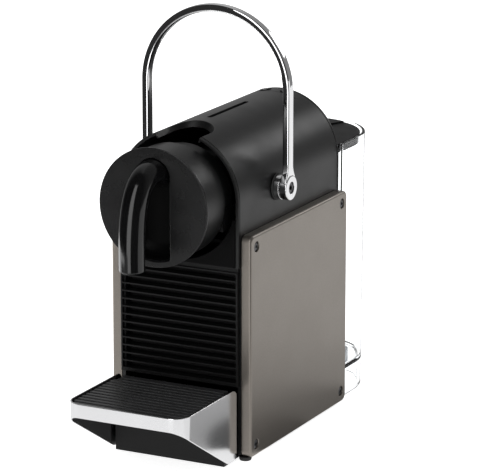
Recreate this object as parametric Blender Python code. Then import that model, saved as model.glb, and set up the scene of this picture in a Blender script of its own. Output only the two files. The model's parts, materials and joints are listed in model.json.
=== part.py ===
"""Pod coffee machine with a sliding brew head, a lever, a lift-out water tank and a folding cup support.

Everything is in metres, +Z up.  The machine faces -Y and stands on z = 0.  Lengths along Y are
measured from the front edges of the side panels, and the empty called machine moves the whole
assembly so that the world origin is the bottom centre of its bounding box.
"""
import math

import bmesh
import bpy
from mathutils import Matrix, Vector

# Whole machine
MID_Y = 0.07625              # from the side panels' front edges back to the middle of the machine
GAP = 0.0003                 # clearance between pieces that touch
FINE, ROUND, SMALL = 40, 20, 12   # sides of large, middling and small round pieces

# Side panels
PANEL_OUT = 0.0555
PANEL_IN = 0.0478
PANEL_REAR = 0.1564
PANEL_LOW, PANEL_TOP = 0.0030, 0.1640
PANEL_CORNER = 0.0050
SHEET = 0.0012
SCREW_INSET = 0.0086
SCREW_HEAD_R = 0.0034
SCREW_SHANK_R = 0.0013
FOOT_R = 0.0045
FOOT_SPOTS = ((0.0485, 0.0050), (0.0450, 0.1509))   # (x, y) on the right, front and rear

# Black upper housing: a half cylinder on straight sides
AXIS_Z = 0.1876
HOUSE_R = 0.04745
HOUSE_WALL = 0.00255
HOUSE_IN = HOUSE_R - HOUSE_WALL
HOUSE_FRONT, HOUSE_REAR = -0.0034, 0.1557
HOUSE_LOW = 0.0045
FASCIA_LOW = 0.1415
INSERT_FRONT = 0.1435
INSERT_HALF = 0.0193
BUTTON_X, BUTTON_Y = 0.0085, 0.1495
BUTTON_TILT = math.asin(BUTTON_X / HOUSE_R)

# Places of the pieces inside: (x, y) of their upright axes
PUMP_SPOT = (-0.0180, 0.1200)
METER_SPOT = (0.0140, 0.1250)
SOCKET_SPOT = (0.0120, 0.1735)
GLAND_SPOT = (-0.0360, 0.1380)
SHAFT_AXIS = (0.0558, AXIS_Z)

# Lever
PIVOT_Y = SHAFT_AXIS[0]
LEVER_RISE = 0.0676          # from the pivot up to the middle of the handle's arch
LEVER_R = 0.0561
LEVER_THICK, LEVER_WIDE = 0.0058, 0.0074
ARCH_STEPS = 26
EYE_R, EYE_IN, EYE_OUT = 0.0089, 0.0532, 0.0592
SHAFT_R = 0.0040
HUB_R = 0.0093
CRANK_REACH = 0.0100         # its pin lies this far ahead of the shaft and this far below it
CRANK_PIN_R = 0.0020

# Brew head, drawn out
DISC_R, DISC_FRONT, DISC_BACK = 0.0423, -0.03975, -0.0371
DRUM_R, DRUM_WALL, DRUM_FRONT, DRUM_REAR = 0.0400, 0.0025, -0.0368, 0.0080
RECESS_HALF, RECESS_TOP, RECESS_FLOOR = 0.0130, 0.2095, -0.0282
RECESS_LIP, RECESS_BEND, RECESS_RISE = 0.0382, 0.0362, 0.0092
RECESS_SKIN = 0.0016
OUTLET = (0.0, 0.2050)       # (x, z) of the hole that feeds the spout
SPOUT_WIDE, SPOUT_DEEP, SPOUT_WALL = 0.0093, 0.0088, 0.0016
FLARE_WIDE, FLARE_DEEP, FLARE_PART = 0.0029, 0.0017, 0.55   # growth at the root; its part of the length
CAGE_R = 0.0206

# Water tank and its lid
TANK_FRONT, TANK_MID, TANK_HALF = 0.1589, 0.1875, 0.0500
TANK_LOW, TANK_FLOOR, TANK_TOP = 0.0012, 0.0215, 0.1972
TANK_DRAFT = 0.0016
TANK_WALL = 0.0024
LID_FRONT, LID_HALF, LID_TOP = 0.1619, 0.0463, 0.1966

# Drip unit and cup support
UNIT_HALF = 0.0435
UNIT_FRONT, UNIT_REAR = -0.0180, 0.0820
BIN_FRONT_HALF, BIN_LOW, BIN_TOP, BIN_TUB_TOP = 0.0464, 0.0553, 0.1412, 0.1380
RIB_FIRST, RIB_PITCH, RIB_COUNT, RIB_HIGH = 0.0574, 0.00571, 15, 0.0011
CUP_HALF, CUP_FRONT, CUP_REAR = 0.0465, -0.0850, -0.0042
CUP_TOP, CUP_BAND_LOW, CUP_LOW = 0.0543, 0.0442, 0.0024
CUP_CORNER = 0.0120
ROD_Y, ROD_Z, ROD_R = -0.0125, 0.0469, 0.0018
GRID_LOW, GRID_TOP, GRID_REAR = 0.0490, 0.0533, -0.0075
GRID_INSET = 0.0014
SLOT_FIRST, SLOT_PITCH, SLOT_COUNT, SLOT_HALF = -0.0768, 0.00562, 12, 0.0010


# ---------------------------------------------------------------- outlines

def arc(cx, cy, radius, start, end, steps):
    """Points of an arc from start to end, in degrees, with both ends."""
    turns = [math.radians(start + (end - start) * i / steps) for i in range(steps + 1)]
    return [(cx + radius * math.cos(t), cy + radius * math.sin(t)) for t in turns]


def circle(cx, cy, radius, steps):
    return arc(cx, cy, radius, 0, 360, steps)[:-1]


def rounded_box(low, high, radii, steps=6):
    """Anticlockwise box outline; radii go low-low, high-low, high-high, low-high."""
    (ax, ay), (bx, by) = low, high
    corners = ((ax, ay, 1, 1, 180), (bx, ay, -1, 1, 270), (bx, by, -1, -1, 0), (ax, by, 1, -1, 90))
    points = []
    for (x, y, sx, sy, start), r in zip(corners, radii):
        if r:
            points += arc(x + sx * r, y + sy * r, r, start, start + 90, steps)
        else:
            points.append((x, y))
    return points


def arch(radius, low, steps=FINE):
    """Half circle about the housing's axis, standing on straight sides."""
    return [(radius, low)] + arc(0, AXIS_Z, radius, 0, 180, steps) + [(-radius, low)]


def d_outline(half, front, steps=FINE // 2):
    """Straight front and sides, round back: the plan of the tank and its lid."""
    return [(-half, front), (half, front)] + arc(0, TANK_MID, half, 0, 180, steps)


def recess_outline(half, foot):
    """Upright slot with a round head; its foot is an arc of that radius about the head's axis."""
    turn = math.degrees(math.asin(half / foot))
    return arc(0, RECESS_TOP, half, 0, 180, 14) + arc(0, AXIS_Z, foot, 270 - turn, 270 + turn, 6)


# ---------------------------------------------------------------- solids

def lift(outline, axis, height):
    """Place a flat outline across an axis: X takes (y, z), Y takes (x, z), Z takes (x, y)."""
    if axis == "X":
        return [(height, a, b) for a, b in outline]
    if axis == "Y":
        return [(a, height, b) for a, b in outline]
    return [(a, b, height) for a, b in outline]


def loft(loops, ring=False):
    """Skin between loops of equal length; a ring joins last to first, the rest is capped."""
    bm = bmesh.new()
    rows = [[bm.verts.new(p) for p in loop] for loop in loops]
    pairs = list(zip(rows, rows[1:]))
    if ring:
        pairs.append((rows[-1], rows[0]))
    for low, high in pairs:
        for i in range(len(low)):
            j = (i + 1) % len(low)
            bm.faces.new((low[i], low[j], high[j], high[i]))
    if not ring:
        bm.faces.new(rows[0])
        bm.faces.new(rows[-1])
    bmesh.ops.recalc_face_normals(bm, faces=bm.faces)
    return bm


def prism(outline, axis, low, high):
    return loft([lift(outline, axis, low), lift(outline, axis, high)])


def block(x, y, z):
    return prism([(x[0], y[0]), (x[1], y[0]), (x[1], y[1]), (x[0], y[1])], "Z", z[0], z[1])


def turned(profile, axis, centre, steps, ring=False):
    """Solid of revolution from (radius, height) pairs; a ring is one with a bore."""
    loops = [lift(circle(centre[0], centre[1], r, steps), axis, h) for r, h in profile]
    return loft(loops, ring)


def rod(axis, centre, radius, low, high, steps=SMALL):
    return turned([(radius, low), (radius, high)], axis, centre, steps)


def merged(parts):
    """One bmesh from several separate closed ones."""
    whole = bmesh.new()
    for part in parts:
        mesh = bpy.data.meshes.new("part")
        part.to_mesh(mesh)
        part.free()
        whole.from_mesh(mesh)
        bpy.data.meshes.remove(mesh)
    return whole


# ---------------------------------------------------------------- objects

def paint(name, colour, roughness, metallic=0.0, clear=0.0):
    material = bpy.data.materials.new(name)
    material.use_nodes = True
    shader = material.node_tree.nodes["Principled BSDF"]
    shader.inputs["Base Color"].default_value = (*colour, 1.0)
    shader.inputs["Roughness"].default_value = roughness
    shader.inputs["Metallic"].default_value = metallic
    shader.inputs["Transmission Weight"].default_value = clear
    return material


def axis_empty(name, location, parent=None):
    """Empty on a joint's axis, or at a body's origin; location is in the machine's lengths."""
    empty = bpy.data.objects.new(name, None)
    bpy.context.scene.collection.objects.link(empty)
    empty.location = location
    if parent is not None:
        empty.parent = parent
        if parent.parent is not None:
            empty.location = Vector(location) - place_in_machine(parent)
    return empty


def place_in_machine(empty):
    """Where an empty lies, measured as the sub-parts are."""
    place = empty.location.copy()
    while empty.parent is not None and empty.parent.parent is not None:
        empty = empty.parent
        place += empty.location
    return place


def ride(thing, body):
    """Parent a piece to its body and keep it where it was modelled."""
    thing.parent = body
    if body.parent is not None:
        thing.matrix_parent_inverse = Matrix.Translation(-place_in_machine(body))


def solid(name, bm, material, body):
    mesh = bpy.data.meshes.new(name)
    bm.to_mesh(mesh)
    bm.free()
    mesh.materials.append(material)
    mesh.shade_smooth()
    mesh.set_sharp_from_angle(angle=math.radians(35))
    thing = bpy.data.objects.new(name, mesh)
    bpy.context.scene.collection.objects.link(thing)
    ride(thing, body)
    return thing


def boolean(thing, bm, operation="DIFFERENCE"):
    """Cut or join with a helper shape that is kept out of the model itself."""
    mesh = bpy.data.meshes.new("helper")
    bm.to_mesh(mesh)
    bm.free()
    helper = bpy.data.objects.new("helper_" + thing.name, mesh)
    bpy.context.scene.collection.objects.link(helper)
    ride(helper, machine)
    helper.display_type = "WIRE"
    helper.hide_render = True
    modifier = thing.modifiers.new(operation.lower(), "BOOLEAN")
    modifier.operation = operation
    modifier.solver = "EXACT"
    modifier.object = helper


def hose(name, points, radius):
    """Tube along a smooth curve through the points."""
    curve = bpy.data.curves.new(name, "CURVE")
    curve.dimensions = "3D"
    curve.resolution_u = 3
    curve.bevel_depth = radius
    curve.bevel_resolution = 2
    curve.use_fill_caps = True
    spline = curve.splines.new("BEZIER")
    spline.bezier_points.add(len(points) - 1)
    for knot, point in zip(spline.bezier_points, points):
        knot.co = point
        knot.handle_left_type = knot.handle_right_type = "AUTO"
    curve.materials.append(clear_hose)
    thing = bpy.data.objects.new(name, curve)
    bpy.context.scene.collection.objects.link(thing)
    ride(thing, machine)


# ---------------------------------------------------------------- machine body

def make_base_plate():
    """Floor of the machine, with a tongue that carries the tank's socket."""
    half, tongue, rear = 0.0471, (-0.0060, 0.0280), 0.1865
    front, back = GAP, HOUSE_REAR
    outline = [(-half, front), (half, front), (half, back), (tongue[1], back), (tongue[1], rear),
               (tongue[0], rear), (tongue[0], back), (-half, back)]
    plate = solid("base_plate", prism(outline, "Z", 0.0015, 0.0042), black, machine)
    boolean(plate, merged(foot_notches() + [rod("Z", GLAND_SPOT, 0.0052, 0, 0.01)]))


def foot_notches():
    """Cutters for the plate's cut-back corners, where the feet are."""
    room, cuts = FOOT_R + GAP, []
    for (x, y), end in zip(FOOT_SPOTS, (-0.01, 0.17)):
        near = y + math.copysign(room, y - end)
        for side in (-1, 1):
            across = sorted((side * (x - room), side * 0.06))
            cuts.append(block(across, sorted((end, near)), (0, 0.01)))
    return cuts


def make_upper_housing():
    section = arch(HOUSE_R, HOUSE_LOW) + arch(HOUSE_IN, HOUSE_LOW)[::-1]
    shell = solid("upper_housing", prism(section, "Y", HOUSE_FRONT, HOUSE_REAR), satin_black, machine)
    boolean(shell, block((-0.06, 0.06), (-0.01, GAP), (-0.01, FASCIA_LOW - GAP)))
    boolean(shell, capsule_notch())
    slit = block((-0.0010, 0.0010), (0.043, 0.103), (AXIS_Z + HOUSE_IN - 0.001, 0.25))
    window = block((-INSERT_HALF, INSERT_HALF), (INSERT_FRONT, 0.17), (0.22, 0.25))
    shaft_hole = rod("X", SHAFT_AXIS, 0.0065, -0.06, 0.06, ROUND)
    boolean(shell, merged([slit, window, shaft_hole]))


def capsule_notch():
    """Round-ended notch that opens at the front of the housing and narrows downwards."""
    def outline(half, rear):
        return [(half, -0.01)] + arc(0, rear - half, half, 0, 180, ROUND) + [(-half, -0.01)]
    upper = lift(outline(0.0190, 0.0320), "Z", 0.2400)
    lower = lift(outline(0.0150, 0.0265), "Z", 0.2220)
    return loft([lower, upper])


def make_front_fascia():
    """Wall below the brew head, hollowed to clear the drum."""
    bore, shoulder = 0.0442, 0.1754
    half = HOUSE_IN - GAP
    turn = math.degrees(math.asin((AXIS_Z - shoulder) / bore))
    hollow = arc(0, AXIS_Z, bore, -turn, turn - 180, ROUND)
    outline = [(-half, FASCIA_LOW), (half, FASCIA_LOW), (half, shoulder)] + hollow + [(-half, shoulder)]
    solid("front_fascia", prism(outline, "Y", HOUSE_FRONT, 0.0080), satin_black, machine)


def make_rear_cover():
    cover = prism(arch(HOUSE_R, HOUSE_LOW), "Y", HOUSE_REAR + GAP, 0.1584)
    thing = solid("rear_cover", cover, satin_black, machine)
    boolean(thing, rod("Y", (SOCKET_SPOT[0], 0.0125), 0.0045, 0.15, 0.17))


def make_side_panel(side, name):
    """Pressed metal pan: a flat face with its four edges folded inwards."""
    def loop(inset, x):
        r = max(PANEL_CORNER - inset, 0.001)
        low = (inset, PANEL_LOW + inset)
        high = (PANEL_REAR - inset, PANEL_TOP - inset)
        return lift(rounded_box(low, high, (r, r, r, r)), "X", side * x)
    soft = 0.0010
    loops = [loop(soft, PANEL_OUT), loop(soft * 0.3, PANEL_OUT - soft * 0.3), loop(0, PANEL_OUT - soft),
             loop(0, PANEL_IN), loop(SHEET, PANEL_IN), loop(SHEET, PANEL_OUT - SHEET)]
    panel = solid(name, loft(loops), titan, machine)
    holes = [rod("X", spot, SCREW_HEAD_R + GAP, side * 0.05, side * 0.06) for spot in screw_spots()]
    boolean(panel, merged(holes))


def screw_spots():
    rows = (SCREW_INSET, PANEL_REAR - SCREW_INSET)
    return [(y, z) for y in rows for z in (PANEL_LOW + SCREW_INSET, PANEL_TOP - SCREW_INSET)]


def make_panel_carrier(side, name):
    """Plastic plate inside the panel, with a boss for each screw."""
    inset = SHEET + 0.0005
    low, high = (inset, PANEL_LOW + inset), (PANEL_REAR - inset, PANEL_TOP - inset)
    outline = rounded_box(low, high, (0.003,) * 4, 3)
    plate = prism(outline, "X", side * (PANEL_IN + GAP), side * 0.0506)
    carrier = solid(name, plate, black, machine)
    bosses = [rod("X", spot, 0.0045, side * 0.0500, side * 0.0537) for spot in screw_spots()]
    boolean(carrier, merged(bosses), "UNION")
    bore_r = SCREW_SHANK_R + GAP
    bores = [rod("X", spot, bore_r, side * 0.047, side * 0.056) for spot in screw_spots()]
    boolean(carrier, merged(bores))


def make_panel_screws(side, letter):
    head_low, head_top, tip = 0.0540, 0.0551, 0.0485
    for (y, z), place in zip(screw_spots(), ("front_low", "front_top", "rear_low", "rear_top")):
        profile = [(SCREW_SHANK_R, side * tip), (SCREW_SHANK_R, side * head_low),
                   (SCREW_HEAD_R, side * head_low), (SCREW_HEAD_R, side * head_top)]
        screw = turned(profile, "X", (y, z), SMALL)
        thing = solid("panel_screw_" + letter + "_" + place, screw, dark_steel, machine)
        socket = rod("X", (y, z), 0.0013, side * (head_top - 0.0007), side * 0.056, 6)
        boolean(thing, socket)


def make_feet():
    profile = [(FOOT_R - 0.0006, 0), (FOOT_R, 0.0006), (FOOT_R, PANEL_LOW - GAP)]
    for (x, y), place in zip(FOOT_SPOTS, ("front", "rear")):
        for side, word in ((-1, "left"), (1, "right")):
            foot = turned(profile, "Z", (side * x, y), ROUND)
            solid("foot_" + place + "_" + word, foot, rubber, machine)


def make_control_insert():
    """Saddle at the back of the housing's crown that holds the two buttons."""
    half = INSERT_HALF - GAP
    turn = math.degrees(math.asin(half / HOUSE_R))
    inner = math.degrees(math.asin(half / HOUSE_IN))
    crown = arc(0, AXIS_Z, HOUSE_R, 90 - turn, 90 + turn, 16)
    under = arc(0, AXIS_Z, HOUSE_IN, 90 + inner, 90 - inner, 16)
    saddle = prism(crown + under, "Y", INSERT_FRONT + GAP, HOUSE_REAR)
    insert = solid("control_insert", saddle, satin_black, machine)
    boolean(insert, merged([button_shape(side, 0.0048, 0.040, 0.055) for side in (-1, 1)]))


def button_shape(side, radius, low, high):
    """Short cylinder on the housing's local normal; low and high are radii about its axis."""
    bm = turned([(radius, low), (radius, high - 0.0003), (radius - 0.0004, high)], "Z", (0, 0), ROUND)
    tilt = Matrix.Rotation(side * BUTTON_TILT, 4, "Y")
    bm.transform(Matrix.Translation((0, BUTTON_Y, AXIS_Z)) @ tilt)
    return bm


def make_buttons():
    for side, name in ((-1, "button_left"), (1, "button_right")):
        solid(name, button_shape(side, 0.0045, 0.0425, 0.0481), satin_black, bodies[name])


# ---------------------------------------------------------------- inside the machine

def make_bulkhead():
    """Wall between the capsule bin and the pump, with the shelf that carries the brewing parts."""
    wall_front, wall_rear, shelf_low, shelf_top = 0.0855, 0.0880, 0.1480, 0.1505
    outline = [(wall_front, HOUSE_LOW + GAP), (wall_rear, HOUSE_LOW + GAP), (wall_rear, shelf_low),
               (0.1400, shelf_low), (0.1400, shelf_top), (0.0310, shelf_top), (0.0310, shelf_low),
               (wall_front, shelf_low)]
    wall = solid("bulkhead", prism(outline, "X", -0.0445, 0.0445), black, machine)
    boolean(wall, rod("Z", PUMP_SPOT, 0.0045, 0.14, 0.16))


def make_injector():
    """Fixed half of the brewing unit, with the needles that pierce the capsule."""
    foot = 0.0120
    turn = math.degrees(math.acos(foot / 0.0260))
    outline = arc(0, AXIS_Z, 0.0260, -turn, 180 + turn, 36) + [(-foot, 0.1508), (foot, 0.1508)]
    injector = solid("injector", prism(outline, "Y", 0.0290, 0.0460), dark_plastic, machine)
    needles = []
    for turn in (90, 210, 330):
        spot = arc(0, AXIS_Z, 0.0060, turn, turn, 1)[0]
        needles.append(turned([(0.0003, 0.0252), (0.0009, 0.0270), (0.0009, 0.0300)], "Y", spot, 8))
    boolean(injector, merged(needles), "UNION")


def make_thermoblock():
    """Cast heater with cooling grooves across its top."""
    grooves = 5
    top, low, groove = 0.1860, 0.1508, 0.0020
    outline = [(0.0780, low), (0.1280, low), (0.1280, top)]
    for i in range(grooves):
        y = 0.1230 - i * 0.0040
        outline += [(y, top), (y, top - groove), (y - groove, top - groove), (y - groove, top)]
    outline.append((0.0780, top))
    heater = solid("thermoblock", prism(outline, "X", -0.0230, 0.0230), cast_alloy, machine)
    boolean(heater, rod("Z", PUMP_SPOT, 0.0038, 0.14, 0.1620))


def make_thermostat():
    profile = [(0.0070, 0.1863), (0.0070, 0.1885), (0.0045, 0.1885), (0.0045, 0.1910)]
    solid("thermostat", turned(profile, "Z", (0, 0.0890), ROUND), cast_alloy, machine)


def make_pump():
    """Vibration pump, standing up: inlet, coil, body and outlet on one axis."""
    profile = [(0.0040, 0.0280), (0.0040, 0.0360), (0.0140, 0.0360), (0.0140, 0.0440), (0.0180, 0.0440),
               (0.0180, 0.0860), (0.0130, 0.0860), (0.0130, 0.1120), (0.0050, 0.1160), (0.0050, 0.1260)]
    solid("pump", turned(profile, "Z", PUMP_SPOT, ROUND), dark_steel, machine)
    cradle = [(0.0143, 0.0372), (0.0200, 0.0372), (0.0200, 0.0436), (0.0143, 0.0436)]
    mount = solid("pump_mount", turned(cradle, "Z", PUMP_SPOT, ROUND, True), rubber, machine)
    boolean(mount, block((-0.041, -0.035), (0.116, 0.124), (HOUSE_LOW + GAP, 0.0425)), "UNION")


def make_flow_meter():
    profile = [(0.0130, 0.0048), (0.0130, 0.0180), (0.0060, 0.0180), (0.0060, 0.0230)]
    solid("flow_meter", turned(profile, "Z", METER_SPOT, ROUND), pale_plastic, machine)


def make_control_board():
    """Circuit board with its relay and transformer, on the right wall."""
    outline = [(0.0440, 0.0930), (0.0440, 0.1500), (0.0424, 0.1500), (0.0424, 0.1420), (0.0330, 0.1420),
               (0.0330, 0.1250), (0.0424, 0.1250), (0.0424, 0.1150), (0.0360, 0.1150), (0.0360, 0.1030),
               (0.0424, 0.1030), (0.0424, 0.0930)]
    solid("control_board", prism(outline, "Z", 0.0400, 0.1200), board_green, machine)


def make_hoses():
    """Three hoses: tank socket to flow meter, flow meter to pump, and pump to heater."""
    def above(spot, heights):
        return [(*spot, z) for z in heights]
    low = 0.0125
    hose("hose_tank", [(0.0120, 0.1610, low), (0.0120, 0.1520, low), (0.0125, 0.1390, low)], 0.0024)
    bend = [(0.0080, 0.1245, 0.0320), (0.0020, 0.1235, 0.0285), (-0.0020, 0.1220, 0.0200),
            (-0.0090, 0.1210, 0.0150), (-0.0160, 0.1202, 0.0170)]
    route = above(METER_SPOT, (0.0234, 0.0285)) + bend + above(PUMP_SPOT, (0.0225, 0.0276))
    hose("hose_pump", route, 0.0020)
    hose("hose_heater", above(PUMP_SPOT, (0.1263, 0.1380, 0.1500, 0.1617)), 0.0024)


def make_tank_socket():
    """Seat under the tank's valve, with the mouth of the pump's supply hose."""
    profile = [(0.0100, 0.0045), (0.0100, 0.0170), (0.0070, 0.0200)]
    socket = solid("tank_socket", turned(profile, "Z", SOCKET_SPOT, ROUND), black, machine)
    boolean(socket, rod("Z", SOCKET_SPOT, 0.0035, 0.0100, 0.03))


def make_shaft_bush(side, name):
    low, lip, high = 0.0422, 0.0438, HOUSE_R
    profile = [(SHAFT_R + GAP, low), (0.0085, low), (0.0085, lip), (0.0062, lip), (0.0062, high),
               (SHAFT_R + GAP, high)]
    loops = [(r, side * x) for r, x in profile]
    solid(name, turned(loops, "X", SHAFT_AXIS, ROUND, True), pale_plastic, machine)


def make_cord_gland():
    """Bushing through the floor where the mains cord enters."""
    profile = [(0.0030, 0.0008), (0.0070, 0.0008), (0.0070, 0.0012), (0.0049, 0.0012), (0.0049, 0.0045),
               (0.0070, 0.0045), (0.0060, 0.0120), (0.0030, 0.0120)]
    solid("cord_gland", turned(profile, "Z", GLAND_SPOT, SMALL, True), rubber, machine)


# ---------------------------------------------------------------- lever

def make_lever_handle():
    """Two straight legs joined by a half-round arch, with an eye at each foot."""
    top, foot = AXIS_Z + LEVER_RISE, AXIS_Z + 0.0055
    half_thick, half_wide, r = LEVER_THICK / 2, LEVER_WIDE / 2, 0.0022
    section = rounded_box((-half_thick, -half_wide), (half_thick, half_wide), (r, r, r, r), 2)
    turns = [math.pi * i / ARCH_STEPS for i in range(ARCH_STEPS + 1)]
    spine = [(LEVER_R * math.cos(t), top + LEVER_R * math.sin(t), t) for t in turns]
    spine = [(LEVER_R, foot, 0)] + spine + [(-LEVER_R, foot, math.pi)]
    loops = []
    for x, z, turn in spine:
        across, up = math.cos(turn), math.sin(turn)
        loops.append([(x + a * across, PIVOT_Y + b, z + a * up) for a, b in section])
    handle = solid("lever_handle", loft(loops), chrome, bodies["lever"])
    soft = 0.0006
    profile = [(EYE_R - soft, EYE_IN), (EYE_R, EYE_IN + soft),
               (EYE_R, EYE_OUT - soft), (EYE_R - soft, EYE_OUT)]
    flare = [(0.0036, 0.0175), (0.0045, 0.0120), (0.0060, 0.0090), (0.0080, 0.0040)]
    web = [(PIVOT_Y - b, AXIS_Z + z) for b, z in flare] + [(PIVOT_Y + b, AXIS_Z + z) for b, z in flare[::-1]]
    for side in (-1, 1):
        foot = prism(web, "X", side * (EYE_IN + soft), side * (EYE_OUT - soft))
        boolean(handle, foot, "UNION")
        eye = turned([(r, side * x) for r, x in profile], "X", SHAFT_AXIS, 32)
        boolean(handle, eye, "UNION")
    boolean(handle, rod("X", SHAFT_AXIS, 0.0042, -0.07, 0.07, ROUND))


def make_lever_hub(side, name):
    low, high, bore = HOUSE_R + GAP, EYE_IN - GAP, SHAFT_R + GAP
    profile = [(bore, low), (HUB_R, low), (HUB_R, high), (bore, high)]
    hub = turned([(r, side * x) for r, x in profile], "X", SHAFT_AXIS, 32, True)
    solid(name, hub, chrome, bodies["lever"])


def make_hub_screw(side, name):
    profile = [(0.0020, 0.0518), (0.0020, 0.0545), (0.0038, 0.0545), (0.0038, 0.0584)]
    body = turned([(r, side * x) for r, x in profile], "X", SHAFT_AXIS, ROUND)
    screw = solid(name, body, dark_steel, bodies["lever"])
    boolean(screw, rod("X", SHAFT_AXIS, 0.0020, side * 0.0568, side * 0.06, 6))


def make_lever_shaft():
    half = 0.0515
    solid("lever_shaft", rod("X", SHAFT_AXIS, SHAFT_R, -half, half, ROUND), dark_steel, bodies["lever"])


def make_crank(side, name):
    """Arm on the shaft whose pin drives the brew head through a slot."""
    pin = (PIVOT_Y - CRANK_REACH, AXIS_Z - CRANK_REACH)
    outline = arc(*SHAFT_AXIS, 0.0078, -45, 135, 16) + arc(*pin, 0.0042, 135, 315, 12)
    arm = solid(name, prism(outline, "X", side * 0.0380, side * 0.0408), dark_steel, bodies["lever"])
    boolean(arm, rod("X", pin, CRANK_PIN_R, side * 0.0324, side * 0.0390), "UNION")
    boolean(arm, rod("X", SHAFT_AXIS, SHAFT_R + GAP, side * 0.03, side * 0.05, ROUND))


# ---------------------------------------------------------------- brew head

def make_head_drum():
    """Tube around the capsule cage, with a slotted arm on each side for the crank's pin."""
    inner = DRUM_R - DRUM_WALL
    profile = [(inner, DRUM_FRONT), (DRUM_R, DRUM_FRONT), (DRUM_R, DRUM_REAR), (inner, DRUM_REAR)]
    tube = turned(profile, "Y", (0, AXIS_Z), FINE, True)
    drum = solid("head_drum", tube, satin_black, bodies["brew_head"])
    pin_y = PIVOT_Y - CRANK_REACH
    arms, slots = [], []
    for side in (-1, 1):
        arms.append(block(sorted((side * 0.0330, side * 0.0365)), (-0.0060, 0.0530), (0.1670, 0.1828)))
        slot_y = (pin_y - 0.0030, pin_y + 0.0030)
        slots.append(block(sorted((side * 0.0300, side * 0.0400)), slot_y, (0.1705, 0.1805)))
    boolean(drum, merged(arms), "UNION")
    boolean(drum, merged(slots))


def recess_foot(y):
    """Radius, about the head's axis, of the lower end of the disc's pocket at a depth."""
    if y <= DRUM_FRONT:
        share = max(0.0, y - DISC_FRONT) / (DRUM_FRONT - DISC_FRONT)
        return RECESS_LIP - (RECESS_LIP - RECESS_BEND) * share
    share = min(1.0, (y - DRUM_FRONT) / (RECESS_FLOOR - DRUM_FRONT))
    return RECESS_BEND - RECESS_RISE * (1 - math.sqrt(1 - share * share))


def make_head_disc():
    """Front plate of the brew head, with the upright pocket that the spout grows out of."""
    profile = [(DISC_R - 0.0012, DISC_FRONT), (DISC_R - 0.0003, DISC_FRONT + 0.0004),
               (DISC_R, DISC_FRONT + 0.0012), (DISC_R, DISC_BACK)]
    plate = turned(profile, "Y", (0, AXIS_Z), 48)
    disc = solid("head_disc", plate, satin_black, bodies["brew_head"])
    depths = [DRUM_FRONT + (RECESS_FLOOR - DRUM_FRONT) * math.sin(math.radians(18 * i)) for i in range(6)]
    most = DRUM_R - DRUM_WALL - GAP
    back = []
    for y in [-0.0380] + depths + [RECESS_FLOOR + 0.0020]:
        foot = min(recess_foot(y - RECESS_SKIN) + 0.0010, most)
        back.append(lift(recess_outline(RECESS_HALF + RECESS_SKIN, foot), "Y", y))
    boolean(disc, loft(back), "UNION")
    pocket = [lift(recess_outline(RECESS_HALF, recess_foot(y)), "Y", y) for y in [-0.05, DISC_FRONT] + depths]
    boolean(disc, loft(pocket))
    boolean(disc, rod("Y", OUTLET, 0.0048, -0.03, -0.02))


def bezier(ends, t):
    """Point and slope on a cubic curve through the plane."""
    weights = ((1 - t) ** 3, 3 * t * (1 - t) ** 2, 3 * t * t * (1 - t), t ** 3)
    slopes = (-3 * (1 - t) ** 2, 3 * (1 - t) * (1 - 3 * t), 3 * t * (2 - 3 * t), 3 * t * t)
    point = [sum(w * end[k] for w, end in zip(weights, ends)) for k in (0, 1)]
    slope = [sum(w * end[k] for w, end in zip(slopes, ends)) for k in (0, 1)]
    return point, slope


def make_coffee_spout():
    """Bent tube, wide where it leaves the pocket, that turns straight down over the cup."""
    ends = [(RECESS_FLOOR - GAP, 0.2100), (-0.0500, 0.2175), (-0.0725, 0.2130), (-0.0700, 0.1500)]
    steps, sides = 13, 18
    turns = [2 * math.pi * k / sides for k in range(sides)]
    outer, inner = [], []
    for i in range(steps + 1):
        (y, z), (dy, dz) = bezier(ends, i / steps)
        if i == 0:
            dy, dz = -1, 0
        ny, nz = -dz / math.hypot(dy, dz), dy / math.hypot(dy, dz)
        flare = max(0, 1 - i / steps / FLARE_PART)
        for rings, thin in ((outer, 0), (inner, SPOUT_WALL)):
            wide = SPOUT_WIDE + FLARE_WIDE * flare ** 1.5 - thin
            deep = SPOUT_DEEP + FLARE_DEEP * flare ** 2 - thin
            section = [(wide * math.cos(u), deep * math.sin(u)) for u in turns]
            rings.append([(x, y + b * ny, z + b * nz) for x, b in section])
    solid("coffee_spout", loft(outer + inner[::-1], True), gloss_black, bodies["brew_head"])


def make_capsule_cage():
    """Tapered seat for the capsule, with a groove up to its outlet tube."""
    profile = [(0.0010, -0.0140), (0.0125, -0.0140), (0.0156, DRUM_REAR), (CAGE_R, DRUM_REAR),
               (CAGE_R, -0.0160), (0.0010, -0.0160)]
    seat = turned(profile, "Y", (0, AXIS_Z), 32, True)
    cage = solid("capsule_cage", seat, dark_plastic, bodies["brew_head"])
    boolean(cage, rod("Y", OUTLET, 0.0045, -0.0275, -0.0150), "UNION")
    bore_r = 0.0020
    boolean(cage, rod("Y", OUTLET, bore_r, -0.03, -0.0140, 8))
    groove = block((-bore_r, bore_r), (-0.0145, -0.0120), (AXIS_Z + 0.0080, OUTLET[1] + bore_r))
    boolean(cage, groove)


# ---------------------------------------------------------------- water tank

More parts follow.
